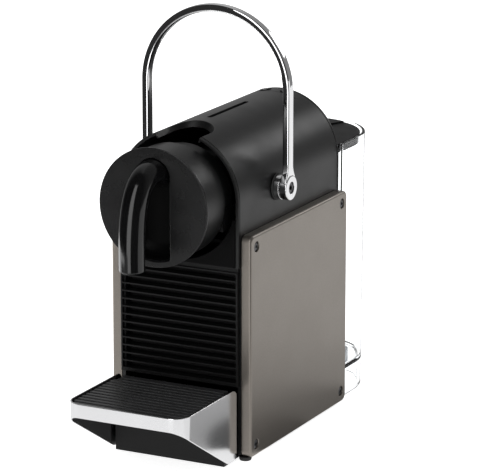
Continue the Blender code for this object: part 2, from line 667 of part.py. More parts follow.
def make_water_tank():
    """Clear D-shaped tank: the water's space above the floor, and an open skirt below it."""
    def loop(half, z):
        return lift(d_outline(half, TANK_FRONT + (TANK_HALF - half)), "Z", z)
    slim = TANK_HALF - TANK_DRAFT
    floor_half = slim + TANK_DRAFT * (TANK_FLOOR / TANK_TOP) - TANK_WALL
    loops = [loop(floor_half, TANK_FLOOR + TANK_WALL), loop(TANK_HALF - TANK_WALL, TANK_TOP),
             loop(TANK_HALF, TANK_TOP), loop(slim, TANK_LOW), loop(slim - TANK_WALL, TANK_LOW),
             loop(floor_half, TANK_FLOOR)]
    tank = solid("water_tank", loft(loops), clear_plastic, bodies["tank"])
    boolean(tank, block((-0.008, 0.030), (0.15, 0.1660), (-0.01, 0.0205)))


def make_tank_valve():
    """Filter housing over the outlet in the tank's floor."""
    low = TANK_FLOOR + TANK_WALL + GAP
    outline = rounded_box((0.004, 0.1660), (0.0440, 0.1900), (0.004, 0.004, 0.010, 0.004), 4)
    thing = solid("tank_valve", prism(outline, "Z", low, 0.0340), pale_plastic, bodies["tank"])
    boolean(thing, rod("Z", (0.0300, 0.1780), 0.0100, 0.0330, 0.0400, ROUND), "UNION")


def make_tank_lid():
    """Lid that hinges at its front edge, with a tapering skirt and a finger tab at the back."""
    def loop(half, front, z):
        return lift(d_outline(half, front), "Z", z)
    skirt, plate, wall = 0.1895, 0.0024, 0.0015
    under = LID_TOP - plate
    soft, skirt_half = 0.0006, 0.0450
    loops = [loop(LID_HALF - soft, LID_FRONT + soft, LID_TOP), loop(LID_HALF, LID_FRONT, LID_TOP - soft),
             loop(LID_HALF, LID_FRONT, under), loop(skirt_half, LID_FRONT + 0.0004, skirt),
             loop(skirt_half - wall, LID_FRONT + wall + 0.0004, skirt),
             loop(skirt_half - 0.0008, LID_FRONT + wall, under)]
    lid = solid("tank_lid", loft(loops), satin_black, bodies["tank_lid"])
    tab = arc(0, TANK_MID, 0.0452, 66, 114, 12) + arc(0, TANK_MID, 0.0330, 114, 66, 12)
    boolean(lid, prism(tab, "Z", LID_TOP - 0.001, LID_TOP + 0.0010), "UNION")


# ---------------------------------------------------------------- drip unit

def make_drip_base():
    """Tub that catches the drips, with a skirt that reaches the floor in front of the machine."""
    top = 0.0485
    outline = [(UNIT_FRONT, 0.0006), (-0.0010, 0.0006), (-0.0010, 0.0047), (UNIT_REAR, 0.0047),
               (UNIT_REAR, top), (UNIT_FRONT + 0.0015, top), (UNIT_FRONT, 0.0405)]
    tub = solid("drip_base", prism(outline, "X", -UNIT_HALF, UNIT_HALF), black, bodies["drip_unit"])
    boolean(tub, block((-0.0415, 0.0415), (-0.0158, 0.0800), (0.0070, 0.06)))
    boolean(tub, block((-0.0210, 0.0210), (-0.03, -0.0100), (0.0405, 0.06)))
    boolean(tub, rod("X", (ROD_Y, ROD_Z), ROD_R + 0.0002, -0.05, 0.05))


def make_capsule_container():
    """Bin for the used capsules; its louvred front is the lower face of the machine."""
    plate_rear, slot_rear, front_rear = -0.0005, 0.0060, 0.0076
    block_half, slot_half, mouth_half = 0.0443, 0.0437, 0.0452
    face = block((-BIN_FRONT_HALF, BIN_FRONT_HALF), (HOUSE_FRONT, plate_rear), (BIN_LOW, BIN_TOP))
    container = solid("capsule_container", face, black, bodies["drip_unit"])
    behind = block((-block_half, block_half), (plate_rear - 0.0007, front_rear), (BIN_LOW, BIN_TUB_TOP))
    boolean(container, behind, "UNION")
    tub = block((-UNIT_HALF, UNIT_HALF), (0.0040, UNIT_REAR), (BIN_LOW, BIN_TUB_TOP))
    boolean(container, tub, "UNION")
    boolean(container, block((-0.0415, 0.0415), (front_rear, 0.0800), (0.0575, 0.16)))
    step = plate_rear - 0.0004
    outline = [(-mouth_half, -0.01), (mouth_half, -0.01), (mouth_half, step), (slot_half, step),
               (slot_half, slot_rear), (-slot_half, slot_rear), (-slot_half, step), (-mouth_half, step)]
    tops = [RIB_FIRST + i * RIB_PITCH + RIB_HIGH / 2 for i in range(RIB_COUNT - 1)]
    boolean(container, merged([prism(outline, "Z", z, z + RIB_PITCH - RIB_HIGH) for z in tops]))
    rib_top = tops[-1] + RIB_PITCH
    boolean(container, block((-0.06, 0.06), (-0.01, HOUSE_FRONT + 0.0014), (rib_top, 0.15)))


def make_cup_support():
    """Bent metal sheet: a front band with round corners that sweeps down into two cheeks."""
    def sides(inset):
        half, front, r = CUP_HALF - inset, CUP_FRONT + inset, CUP_CORNER - inset
        left = [(-half, 0.0)] + arc(-half + r, front + r, r, 180, 270, 10)
        return left + [(-x, y) for x, y in left[::-1]]
    strip = prism(sides(0) + sides(SHEET)[::-1], "Z", 0, 0.06)
    support = solid("cup_support", strip, chrome, bodies["cup_support"])
    rear_r, low_r = 0.0060, 0.0040
    corner = arc(CUP_REAR - rear_r, CUP_TOP - rear_r, rear_r, 0, 90, 6)
    foot = arc(CUP_REAR - low_r, CUP_LOW + low_r, low_r, 270, 360, 6)
    sweep = [(-0.0950, CUP_BAND_LOW), (CUP_FRONT, CUP_BAND_LOW), (-0.0840, CUP_BAND_LOW - 0.0010),
             (-0.0818, CUP_BAND_LOW - 0.0025), (-0.0780, CUP_BAND_LOW - 0.0049),
             (-0.0716, CUP_BAND_LOW - 0.0091), (-0.0190, CUP_LOW + 0.0013), (-0.0165, CUP_LOW)]
    profile = sweep + foot + corner + [(-0.0950, CUP_TOP)]
    boolean(support, prism(profile, "X", -0.06, 0.06), "INTERSECT")


def make_support_tray():
    """Shallow tray below the grid, with a lip that spills into the drip base."""
    half, front, rear = CUP_HALF - SHEET - GAP, CUP_FRONT + SHEET + GAP, UNIT_FRONT - 0.0006
    low, floor_top, top = 0.0446, 0.0458, 0.0487
    r = CUP_CORNER - SHEET - GAP
    plate = prism(rounded_box((-half, front), (half, rear), (r, r, 0, 0)), "Z", low, top)
    tray = solid("support_tray", plate, black, bodies["cup_support"])
    thin = 0.0012
    pocket = rounded_box((-half + thin, front + thin), (half - thin, 0), (r - thin, r - thin, 0, 0))
    boolean(tray, prism(pocket, "Z", floor_top, 0.06))
    boolean(tray, block((-0.020, 0.020), (rear - 0.0010, -0.0147), (low, floor_top)), "UNION")


def make_hinge_rod():
    pin = rod("X", (ROD_Y, ROD_Z), ROD_R, -0.0450, 0.0450)
    solid("support_hinge_rod", pin, dark_steel, bodies["cup_support"])


def make_cup_grid():
    """Removable grid: raised bars across its whole width, with slots through it between them."""
    half, front = CUP_HALF - SHEET - GRID_INSET, CUP_FRONT + SHEET + GRID_INSET
    r = CUP_CORNER - SHEET - GRID_INSET
    outline = rounded_box((-half, front), (half, GRID_REAR), (r, r, 0.001, 0.001))
    grid = solid("cup_grid", prism(outline, "Z", GRID_LOW, GRID_TOP), dark_plastic, bodies["cup_grid"])
    notch_front, notch_in = UNIT_FRONT - 0.0012, 0.0411
    corners = ((-0.05, -notch_in), (notch_in, 0.05))
    boolean(grid, merged([block(x, (notch_front, 0), (0.04, 0.06)) for x in corners]))
    grooves, slots = [], []
    for i in range(SLOT_COUNT):
        y = (SLOT_FIRST + i * SLOT_PITCH - SLOT_HALF, SLOT_FIRST + i * SLOT_PITCH + SLOT_HALF)
        reach = half - 0.0028 - (0.0022 if y[1] > notch_front or i == 0 else 0)
        grooves.append(block((-0.05, 0.05), y, (GRID_TOP - 0.0018, 0.06)))
        slots.append(block((-reach, reach), y, (0.04, 0.06)))
    boolean(grid, merged(grooves))
    boolean(grid, merged(slots))


# ---------------------------------------------------------------- build

for old in list(bpy.data.objects):
    bpy.data.objects.remove(old, do_unlink=True)

satin_black = paint("satin_black", (0.018, 0.018, 0.019), 0.38)
black = paint("black", (0.012, 0.012, 0.013), 0.50)
gloss_black = paint("gloss_black", (0.006, 0.006, 0.007), 0.10)
dark_plastic = paint("dark_plastic", (0.045, 0.045, 0.047), 0.45)
pale_plastic = paint("pale_plastic", (0.35, 0.37, 0.38), 0.45)
titan = paint("titan", (0.235, 0.215, 0.190), 0.36, 0.85)
chrome = paint("chrome", (0.80, 0.80, 0.81), 0.06, 1.0)
dark_steel = paint("dark_steel", (0.20, 0.20, 0.21), 0.35, 1.0)
cast_alloy = paint("cast_alloy", (0.55, 0.55, 0.56), 0.45, 1.0)
rubber = paint("rubber", (0.020, 0.020, 0.020), 0.80)
board_green = paint("board_green", (0.030, 0.140, 0.060), 0.55)
clear_hose = paint("clear_hose", (0.80, 0.82, 0.80), 0.30, clear=0.6)
clear_plastic = paint("clear_plastic", (0.90, 0.94, 0.95), 0.05, clear=0.95)

machine = axis_empty("machine", (0, -MID_Y, 0))
bodies = {
    "lever": axis_empty("lever_axis", (0, PIVOT_Y, AXIS_Z), machine),
    "brew_head": axis_empty("brew_head_slide", (0, DISC_FRONT, AXIS_Z), machine),
    "button_left": axis_empty("button_left_axis", (-BUTTON_X, BUTTON_Y, 0.2345), machine),
    "button_right": axis_empty("button_right_axis", (BUTTON_X, BUTTON_Y, 0.2345), machine),
    "tank": axis_empty("tank_lift", (0, TANK_MID, TANK_LOW), machine),
    "drip_unit": axis_empty("drip_unit_slide", (0, UNIT_FRONT, 0), machine),
}
bodies["tank_lid"] = axis_empty("lid_hinge", (0, LID_FRONT, LID_TOP), bodies["tank"])
bodies["cup_support"] = axis_empty("cup_support_hinge", (0, ROD_Y, ROD_Z), bodies["drip_unit"])
bodies["cup_grid"] = axis_empty("grid_lift", (0, CUP_FRONT, GRID_LOW), bodies["cup_support"])

make_base_plate()
make_upper_housing()
make_front_fascia()
make_rear_cover()
for side, word, letter in ((-1, "left", "l"), (1, "right", "r")):
    make_side_panel(side, "side_panel_" + word)
    make_panel_carrier(side, "panel_carrier_" + word)
    make_panel_screws(side, letter)
    make_shaft_bush(side, "shaft_bush_" + word)
    make_lever_hub(side, "lever_hub_" + word)
    make_hub_screw(side, "hub_screw_" + word)
    make_crank(side, "crank_" + word)
make_feet()
make_control_insert()
make_buttons()
make_bulkhead()
make_injector()
make_thermoblock()
make_thermostat()
make_pump()
make_flow_meter()
make_control_board()
make_hoses()
make_tank_socket()
make_cord_gland()
make_lever_handle()
make_lever_shaft()
make_head_drum()
make_head_disc()
make_coffee_spout()
make_capsule_cage()
make_water_tank()
make_tank_valve()
make_tank_lid()
make_drip_base()
make_capsule_container()
make_cup_support()
make_support_tray()
make_hinge_rod()
make_cup_grid()
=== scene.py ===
"""Looks of the pod coffee machine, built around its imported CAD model.

World frame: metres, +Z up, the machine faces -Y.  Lengths along Y are written as the machine's own,
from the front edges of the side panels, and back() turns them into the frame's.  ACROSS is the reach of
a cutter that passes through the whole width, and CORE is the radius that closes a turned solid on its axis.
"""

import json
from math import asin, cos, degrees, exp, hypot, log, pi, radians, sin, sqrt, tan

import bmesh
import bpy
from mathutils import Matrix, Vector


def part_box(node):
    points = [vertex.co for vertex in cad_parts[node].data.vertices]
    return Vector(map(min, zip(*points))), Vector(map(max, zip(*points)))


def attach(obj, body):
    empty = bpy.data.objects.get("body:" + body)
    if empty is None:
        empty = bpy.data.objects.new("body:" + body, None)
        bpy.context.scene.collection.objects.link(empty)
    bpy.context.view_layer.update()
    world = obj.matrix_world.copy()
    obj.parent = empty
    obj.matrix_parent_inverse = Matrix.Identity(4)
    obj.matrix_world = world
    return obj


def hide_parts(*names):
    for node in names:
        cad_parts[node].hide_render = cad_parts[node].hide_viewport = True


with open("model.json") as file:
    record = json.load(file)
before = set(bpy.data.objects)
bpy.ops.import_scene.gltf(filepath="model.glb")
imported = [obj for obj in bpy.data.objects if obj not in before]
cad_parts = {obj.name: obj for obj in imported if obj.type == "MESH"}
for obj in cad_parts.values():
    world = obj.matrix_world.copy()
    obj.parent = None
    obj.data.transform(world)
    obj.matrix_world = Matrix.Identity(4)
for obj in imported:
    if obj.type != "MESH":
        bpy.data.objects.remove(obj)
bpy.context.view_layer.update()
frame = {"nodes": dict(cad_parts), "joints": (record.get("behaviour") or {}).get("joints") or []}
scene = bpy.context.scene

# ---- sizes, from the frame

PANEL_LOW, PANEL_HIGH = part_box("side_panel_right")
FRONT = PANEL_LOW.y
HOUSE_LOW, HOUSE_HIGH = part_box("upper_housing")
HOUSE_R = HOUSE_HIGH.x
AXIS_Z = HOUSE_HIGH.z - HOUSE_R
HOUSE_WALL = 0.00255
HOUSE_IN = HOUSE_R - HOUSE_WALL
GAP = 0.0003
SHAFT_LOW, SHAFT_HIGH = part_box("lever_shaft")
PIVOT_Y = (SHAFT_LOW.y + SHAFT_HIGH.y) / 2
HANDLE_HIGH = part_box("lever_handle")[1]
HANDLE_IN = 0.0532
DISC_LOW, DISC_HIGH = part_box("head_disc")
DRUM_LOW, DRUM_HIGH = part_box("head_drum")
TANK_LOW, TANK_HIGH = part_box("water_tank")
LID_LOW, LID_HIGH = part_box("tank_lid")
CUP_LOW, CUP_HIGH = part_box("cup_support")
GRID_LOW, GRID_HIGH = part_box("cup_grid")
BIN_LOW, BIN_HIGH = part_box("capsule_container")
UNIT_LOW, UNIT_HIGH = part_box("drip_base")
SPOUT_LOW, SPOUT_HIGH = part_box("coffee_spout")
SHAFT_AXIS = (PIVOT_Y, AXIS_Z)
HEAD_AXIS = (0, AXIS_Z)
ACROSS = (-0.06, 0.06)
CORE = 0.0001


def back(y):
    """Frame y of a length measured back from the side panels' front edges."""
    return FRONT + y


# ---- outlines

def turns(*degrees):
    return [radians(t) for t in degrees]


def arc(cx, cy, radius, start, end, steps):
    """Points of an arc from start to end, in degrees, with both ends."""
    points = turns(*[start + (end - start) * i / steps for i in range(steps + 1)])
    return [(cx + radius * cos(t), cy + radius * sin(t)) for t in points]


def circle(cx, cy, radius, steps):
    return arc(cx, cy, radius, 0, 360, steps)[:-1]


def rounded_box(low, high, radii, steps):
    """Anticlockwise box outline; radii go low-low, high-low, high-high, low-high."""
    (ax, ay), (bx, by) = low, high
    corners = ((ax, ay, 1, 1, 180), (bx, ay, -1, 1, 270), (bx, by, -1, -1, 0), (ax, by, 1, -1, 90))
    points = []
    for (x, y, sx, sy, start), r in zip(corners, radii):
        points += arc(x + sx * r, y + sy * r, r, start, start + 90, steps)
    return points


def soft_low(a, b, width):
    """Smaller of two lengths, rounded off where they cross."""
    return -width * log(exp(-a / width) + exp(-b / width))


# ---- meshes

def lift(outline, axis, height):
    """Place a flat outline across an axis: X takes (y, z), Y takes (x, z), Z takes (x, y)."""
    spot = "XYZ".index(axis)
    return [p[:spot] + (height,) + p[spot:] for p in outline]


def wrap(outline, radius):
    """Lay an outline of (sideways, y) on a cylinder about the housing's axis."""
    spots = [(a / HOUSE_R, y) for a, y in outline]
    return [(radius * sin(t), y, AXIS_Z + radius * cos(t)) for t, y in spots]


def loft(loops, ring=False):
    """Skin between loops of equal length; a ring joins last to first, the rest is capped."""
    bm = bmesh.new()
    rows = [[bm.verts.new(p) for p in loop] for loop in loops]
    pairs = list(zip(rows, rows[1:]))
    if ring:
        pairs.append((rows[-1], rows[0]))
    for low, high in pairs:
        for i in range(len(low)):
            j = (i + 1) % len(low)
            bm.faces.new((low[i], low[j], high[j], high[i]))
    if not ring:
        bm.faces.new(rows[0])
        bm.faces.new(rows[-1])
    bmesh.ops.recalc_face_normals(bm, faces=bm.faces)
    return bm


def prism(outline, axis, low, high):
    return loft([lift(outline, axis, low), lift(outline, axis, high)])


def block(x, y, z):
    return prism([(x[0], y[0]), (x[1], y[0]), (x[1], y[1]), (x[0], y[1])], "Z", z[0], z[1])


def turned(profile, axis, centre, steps=96, ring=False):
    """Solid of revolution from (radius, height) pairs; a ring is one with a bore."""
    return loft([lift(circle(*centre, r, steps), axis, h) for r, h in profile], ring)


def crosswise(profile, side, centre, steps=96, ring=False):
    """Solid of revolution across the machine, on its left (-1) or right (1) side."""
    return turned([(r, side * x) for r, x in profile], "X", centre, steps, ring)


def soft_profile(corners, radius, steps=4):
    """Round the corners of a closed (radius, height) profile; a corner may carry its own radius."""
    points = []
    most = 0.49
    for i, corner in enumerate(corners):
        here = Vector(corner[:2])
        r = corner[2] if len(corner) > 2 else radius
        before, after = Vector(corners[i - 1][:2]) - here, Vector(corners[(i + 1) % len(corners)][:2]) - here
        if r <= 0:
            points.append(tuple(here))
            continue
        reach = min(r / tan(before.angle(after) / 2), before.length * most, after.length * most)
        first, last = here + before.normalized() * reach, here + after.normalized() * reach
        for k in range(steps + 1):
            t = k / steps
            points.append(tuple(first * (1 - t) ** 2 + here * 2 * t * (1 - t) + last * t ** 2))
    return points


def merged(parts):
    """One bmesh from several separate closed ones."""
    whole = bmesh.new()
    for part in parts:
        mesh = bpy.data.meshes.new("part")
        part.to_mesh(mesh)
        part.free()
        whole.from_mesh(mesh)
        bpy.data.meshes.remove(mesh)
    return whole


def piece(name, bm):
    """New object in the scene with a bmesh's shape."""
    mesh = bpy.data.meshes.new(name)
    bm.to_mesh(mesh)
    bm.free()
    thing = bpy.data.objects.new(name, mesh)
    scene.collection.objects.link(thing)
    return thing


def shape_of(thing):
    """Shape of a helper piece, which is then removed."""
    bm = bmesh.new()
    bm.from_mesh(thing.data)
    bpy.data.objects.remove(thing)
    return bm


def settle(thing):
    """Apply a piece's modifiers to its mesh."""
    bpy.context.view_layer.update()
    graph = bpy.context.evaluated_depsgraph_get()
    mesh = bpy.data.meshes.new_from_object(thing.evaluated_get(graph))
    thing.modifiers.clear()
    thing.data = mesh


def boolean(thing, bm, operation="DIFFERENCE"):
    helper = piece("helper", bm)
    modifier = thing.modifiers.new("boolean", "BOOLEAN")
    modifier.operation = operation
    modifier.solver = "EXACT"
    modifier.object = helper
    settle(thing)
    bpy.data.objects.remove(helper)


def bevel(thing, width, segments, angle):
    modifier = thing.modifiers.new("bevel", "BEVEL")
    modifier.width = width
    modifier.segments = segments
    modifier.limit_method = "ANGLE"
    modifier.angle_limit = radians(angle)
    modifier.harden_normals = True
    modifier.use_clamp_overlap = True
    settle(thing)


def finish(thing, material, body, nodes=(), sharp=35):
    """Shade a piece, give it its material, and tie it to the frame."""
    thing.data.materials.clear()
    thing.data.materials.append(material)
    thing.data.shade_smooth()
    thing.data.set_sharp_from_angle(angle=radians(sharp))
    modifier = thing.modifiers.new("normals", "WEIGHTED_NORMAL")
    modifier.keep_sharp = True
    modifier.weight = 80
    settle(thing)
    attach(thing, body)
    if nodes:
        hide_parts(*nodes)


# ---- materials

NOISE_LOW, NOISE_HIGH = 0.3, 0.7


def add(tree, kind, values=()):
    """New shader node with some of its sockets set."""
    node = tree.nodes.new("ShaderNode" + kind)
    for socket, value in dict(values).items():
        node.inputs[socket].default_value = value
    return node


def link(output, socket):
    output.id_data.links.new(output, socket)


def shader_of(name, colour, roughness, metallic=0.0, specular=0.5):
    material = bpy.data.materials.new(name)
    material.use_nodes = True
    shader = material.node_tree.nodes["Principled BSDF"]
    values = {"Base Color": (*colour, 1.0), "Roughness": roughness, "Metallic": metallic,
              "Specular IOR Level": specular}
    for socket, value in values.items():
        shader.inputs[socket].default_value = value
    return material, shader


def object_noise(shader, scale, detail, stretch=(1, 1, 1)):
    """Noise that is fixed to the piece, stretched along its own axes."""
    tree = shader.id_data
    place = add(tree, "TexCoord")
    mapping = add(tree, "Mapping", {"Scale": stretch})
    noise = add(tree, "TexNoise", {"Scale": scale, "Detail": detail})
    link(place.outputs["Object"], mapping.inputs["Vector"])
    link(mapping.outputs["Vector"], noise.inputs["Vector"])
    return noise.outputs["Fac"]


def sheen(shader, noise, low, high):
    """Let the roughness follow a noise."""
    span = {"From Min": NOISE_LOW, "From Max": NOISE_HIGH, "To Min": low, "To Max": high}
    node = add(shader.id_data, "MapRange", span)
    link(noise, node.inputs["Value"])
    link(node.outputs["Result"], shader.inputs["Roughness"])


def tint(shader, value, colour, less, more, start=NOISE_LOW, end=NOISE_HIGH):
    """Let the colour go from less to more of itself as a value goes from start to end."""
    ramp = add(shader.id_data, "ValToRGB")
    for element, place, share in zip(ramp.color_ramp.elements, (start, end), (less, more)):
        element.position = place
        element.color = (*[min(1, c * share) for c in colour], 1)
    link(value, ramp.inputs["Fac"])
    link(ramp.outputs["Color"], shader.inputs["Base Color"])


def bump(shader, value, strength, distance):
    node = add(shader.id_data, "Bump", {"Strength": strength, "Distance": distance})
    link(value, node.inputs["Height"])
    link(node.outputs["Normal"], shader.inputs["Normal"])


def moulded(name, colour, roughness, grain=3200, depth=0.00001, specular=0.5):
    """Moulded plastic: fine grain from the tool, and faint clouding of colour and sheen."""
    material, shader = shader_of(name, colour, roughness, specular=specular)
    clouds = object_noise(shader, 45, 4)
    tint(shader, clouds, colour, 0.86, 1.16)
    sheen(shader, clouds, roughness - 0.03, roughness + 0.03)
    bump(shader, object_noise(shader, grain, 3), 0.35, depth)
    return material


def metallic_paint(name, colour, roughness):
    """Satin metallic coat: flakes in the colour, and a fine orange peel."""
    material, shader = shader_of(name, colour, roughness, metallic=0.9)
    tint(shader, object_noise(shader, 2600, 2), colour, 0.88, 1.12)
    sheen(shader, object_noise(shader, 30, 3), roughness - 0.03, roughness + 0.04)
    bump(shader, object_noise(shader, 900, 2), 0.12, 0.00002)
    return material


def polished(name, colour, roughness):
    """Chrome: nearly a mirror, with faint polishing marks and smears."""
    material, shader = shader_of(name, colour, roughness, metallic=1.0)
    sheen(shader, object_noise(shader, 160, 5, (1, 1, 6)), roughness * 0.92, roughness * 1.12)
    tint(shader, object_noise(shader, 60, 3), colour, 0.985, 1.01)
    return material


def machined(name, colour, roughness):
    """Bare metal with a turned or cast grain."""
    material, shader = shader_of(name, colour, roughness, metallic=1.0)
    grain = object_noise(shader, 900, 4)
    tint(shader, grain, colour, 0.8, 1.15)
    sheen(shader, grain, roughness - 0.06, roughness + 0.08)
    bump(shader, grain, 0.2, 0.00002)
    return material


def clear(name, colour, roughness, density=0.0, edge=1.0):
    """Clear moulded plastic with a faint waviness, greyer the further light runs inside, and with painted
    shade that greys its colour seen edge on.
    """
    material, shader = shader_of(name, colour, roughness)
    shader.inputs["Transmission Weight"].default_value = 1.0
    shader.inputs["IOR"].default_value = 1.14
    waves = object_noise(shader, 60, 2)
    sheen(shader, waves, roughness * 0.5, roughness * 2)
    bump(shader, waves, 0.1, 0.0002)
    # painted shade: the colour greys towards edge-on view, down to the share edge, standing in for the grey
    # edge lines of clear walls
    slant = add(shader.id_data, "LayerWeight", {"Blend": 0.5})
    tint(shader, slant.outputs["Facing"], colour, 1.0, edge, 0.55, 1.0)
    if density:
        depth = add(shader.id_data, "VolumeAbsorption", {"Color": (0.60, 0.66, 0.70, 1), "Density": density})
        link(depth.outputs["Volume"], material.node_tree.nodes["Material Output"].inputs["Volume"])
    return material


black = moulded("black_moulded", (0.003, 0.003, 0.0032), 0.40, specular=0.22)
satin_black = moulded("satin_black_moulded", (0.0042, 0.0042, 0.0044), 0.38, specular=0.37)
head_black = moulded("head_black_moulded", (0.004, 0.004, 0.0042), 0.27, specular=0.42)
# painted shade: a darker copy of the black plastic with almost no specular reflection, for the fascia and the
# disc's pocket, which sit in the head's shade
painted_shade_black = moulded("fascia_black_moulded", (0.0022, 0.0022, 0.0023), 0.36, specular=0.06)
lid_black = moulded("lid_black_moulded", (0.004, 0.004, 0.0042), 0.38, specular=0.04)
gloss_black = moulded("gloss_black_moulded", (0.0025, 0.0025, 0.0027), 0.12, 900, 0.000004)
mark_white = moulded("mark_print", (0.72, 0.72, 0.71), 0.42)
grid_black = moulded("grid_moulded", (0.022, 0.022, 0.023), 0.40)
pale_plastic = moulded("grey_moulded", (0.33, 0.35, 0.37), 0.42)
rubber = moulded("rubber_moulded", (0.016, 0.016, 0.016), 0.75, 1500, 0.00002)
titan = metallic_paint("titan_paint", (0.245, 0.222, 0.198), 0.34)
chrome = polished("chrome_plate", (0.86, 0.86, 0.87), 0.05)
satin_chrome = polished("satin_chrome_plate", (0.83, 0.83, 0.84), 0.16)
dark_steel = machined("dark_steel_turned", (0.12, 0.12, 0.125), 0.34)
cast_alloy = machined("cast_alloy", (0.50, 0.50, 0.51), 0.45)
board_green = moulded("board_lacquer", (0.02, 0.11, 0.045), 0.4, 600, 0.00003)
hose_clear = clear("hose_clear", (0.86, 0.88, 0.86), 0.25)
# painted shade: edge 0.35 greys the tank's walls where they are seen edge on
tank_clear = clear("tank_clear", (0.985, 0.993, 0.998), 0.015, 6.0, 0.35)


# ---- side panels

PANEL_SHEET = 0.0012
PANEL_CORNER = 0.005
PANEL_SOFT = 0.0019
SCREW_INSET = 0.0086
SCREW_R = 0.0034


def screw_spots():
    ys = (PANEL_LOW.y + SCREW_INSET, PANEL_HIGH.y - SCREW_INSET)
    zs = (PANEL_LOW.z + SCREW_INSET, PANEL_HIGH.z - SCREW_INSET)
    return {"front_low": (ys[0], zs[0]), "front_top": (ys[0], zs[1]),
            "rear_low": (ys[1], zs[0]), "rear_top": (ys[1], zs[1])}


def side_panel(side, word):
    """Pressed pan with rolled edges and a countersunk hole for each screw."""
    outer, inner = PANEL_HIGH.x, PANEL_LOW.x
    least, edge = 0.0012, 0.0003

    def loop(inset, x):
        r = max(PANEL_CORNER - inset, least)
        low, high = (PANEL_LOW.y + inset, PANEL_LOW.z + inset), (PANEL_HIGH.y - inset, PANEL_HIGH.z - inset)
        return lift(rounded_box(low, high, (r, r, r, r), 12), "X", side * x)
    loops = []
    for i in range(10):
        turn = radians(10 * i)
        rolled = PANEL_SOFT * (1 - sin(turn))
        loops.append(loop(rolled, outer - PANEL_SOFT * (1 - cos(turn))))
    loops += [loop(0, inner + edge), loop(edge * 0.3, inner + edge * 0.3), loop(edge, inner),
              loop(PANEL_SHEET, inner), loop(PANEL_SHEET, outer - PANEL_SHEET)]
    panel = piece("panel_shell_" + word, loft(loops))
    hole = SCREW_R + GAP
    profile = [(hole, inner), (hole, outer - 0.0005), (hole + 0.00006, outer - 0.0003),
               (hole + 0.0002, outer - 0.0001), (hole + 0.0005, outer + 0.0001)]
    holes = [crosswise(profile, side, spot, 48) for spot in screw_spots().values()]
    boolean(panel, merged(holes))
    finish(panel, titan, "root", ["side_panel_" + word], 40)


def panel_screw(side, letter, place, spot):
    """Button-head screw with a hexagon socket."""
    node = "panel_screw_%s_%s" % (letter, place)
    low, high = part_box(node)
    top = high.x if side > 0 else -low.x
    shank_r, length, head, dome, socket_r = 0.0013, 0.0066, 0.0011, 0.0009, 0.00135
    profile = [(shank_r, top - length), (shank_r, top - head), (SCREW_R - 0.0001, top - head),
               (SCREW_R, top - dome)]
    for turn in turns(15, 30, 45, 60, 68):
        profile.append((SCREW_R * cos(turn), top - dome * (1 - sin(turn))))
    screw = piece("screw_%s_%s" % (letter, place), crosswise(profile, side, spot, 40))
    boolean(screw, crosswise([(socket_r, top - dome), (socket_r, top + 0.001)], side, spot, 6))
    finish(screw, dark_steel, "root", [node])


def foot(name, node):
    """Round pad with a softened lower edge."""
    low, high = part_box(node)
    centre = ((low.x + high.x) / 2, (low.y + high.y) / 2)
    r, taper, rise, soft = (high.x - low.x) / 2, 0.0005, 0.0012, 0.0004
    corners = [(CORE, 0, 0), (r - taper, 0), (r, rise), (r, high.z, 0), (CORE, high.z, 0)]
    pad = piece(name, turned(soft_profile(corners, soft), "Z", centre, 40))
    finish(pad, rubber, "root", [node])


# ---- upper housing

NOTCH_HALF, NOTCH_REAR, NOTCH_DEEP = 0.018, 0.0312, 0.0038
NOTCH_SLOPE_SIDE, NOTCH_SLOPE_REAR = 0.0004, 0.0026
SLIT_HALF, SLIT_FROM, SLIT_TO = 0.0019, 0.043, 0.1030


def notch_outline(half, rear):
    """Round-ended slot that runs out past the front of the housing."""
    ahead = back(-0.012)
    return ([(half, ahead), (half, back(0.0))] + arc(0, back(rear) - half, half, 0, 180, 40)
            + [(-half, back(0.0)), (-half, ahead)])


def notch_at(radius, more=0.0):
    """Notch at a radius about the housing's axis: it narrows inwards, and rolls over at the top."""
    share = (HOUSE_R - radius) / NOTCH_DEEP
    half = NOTCH_HALF - NOTCH_SLOPE_SIDE * share + more
    return wrap(notch_outline(half, NOTCH_REAR - NOTCH_SLOPE_REAR * share + more), radius)


def rolled_rim(radius):
    """Steps of a cutter that rounds a rim over: (depth below the surface, growth)."""
    return [(radius * (1 - sin(t)), radius * (1 - cos(t))) for t in turns(0, 20, 40, 60, 75)]


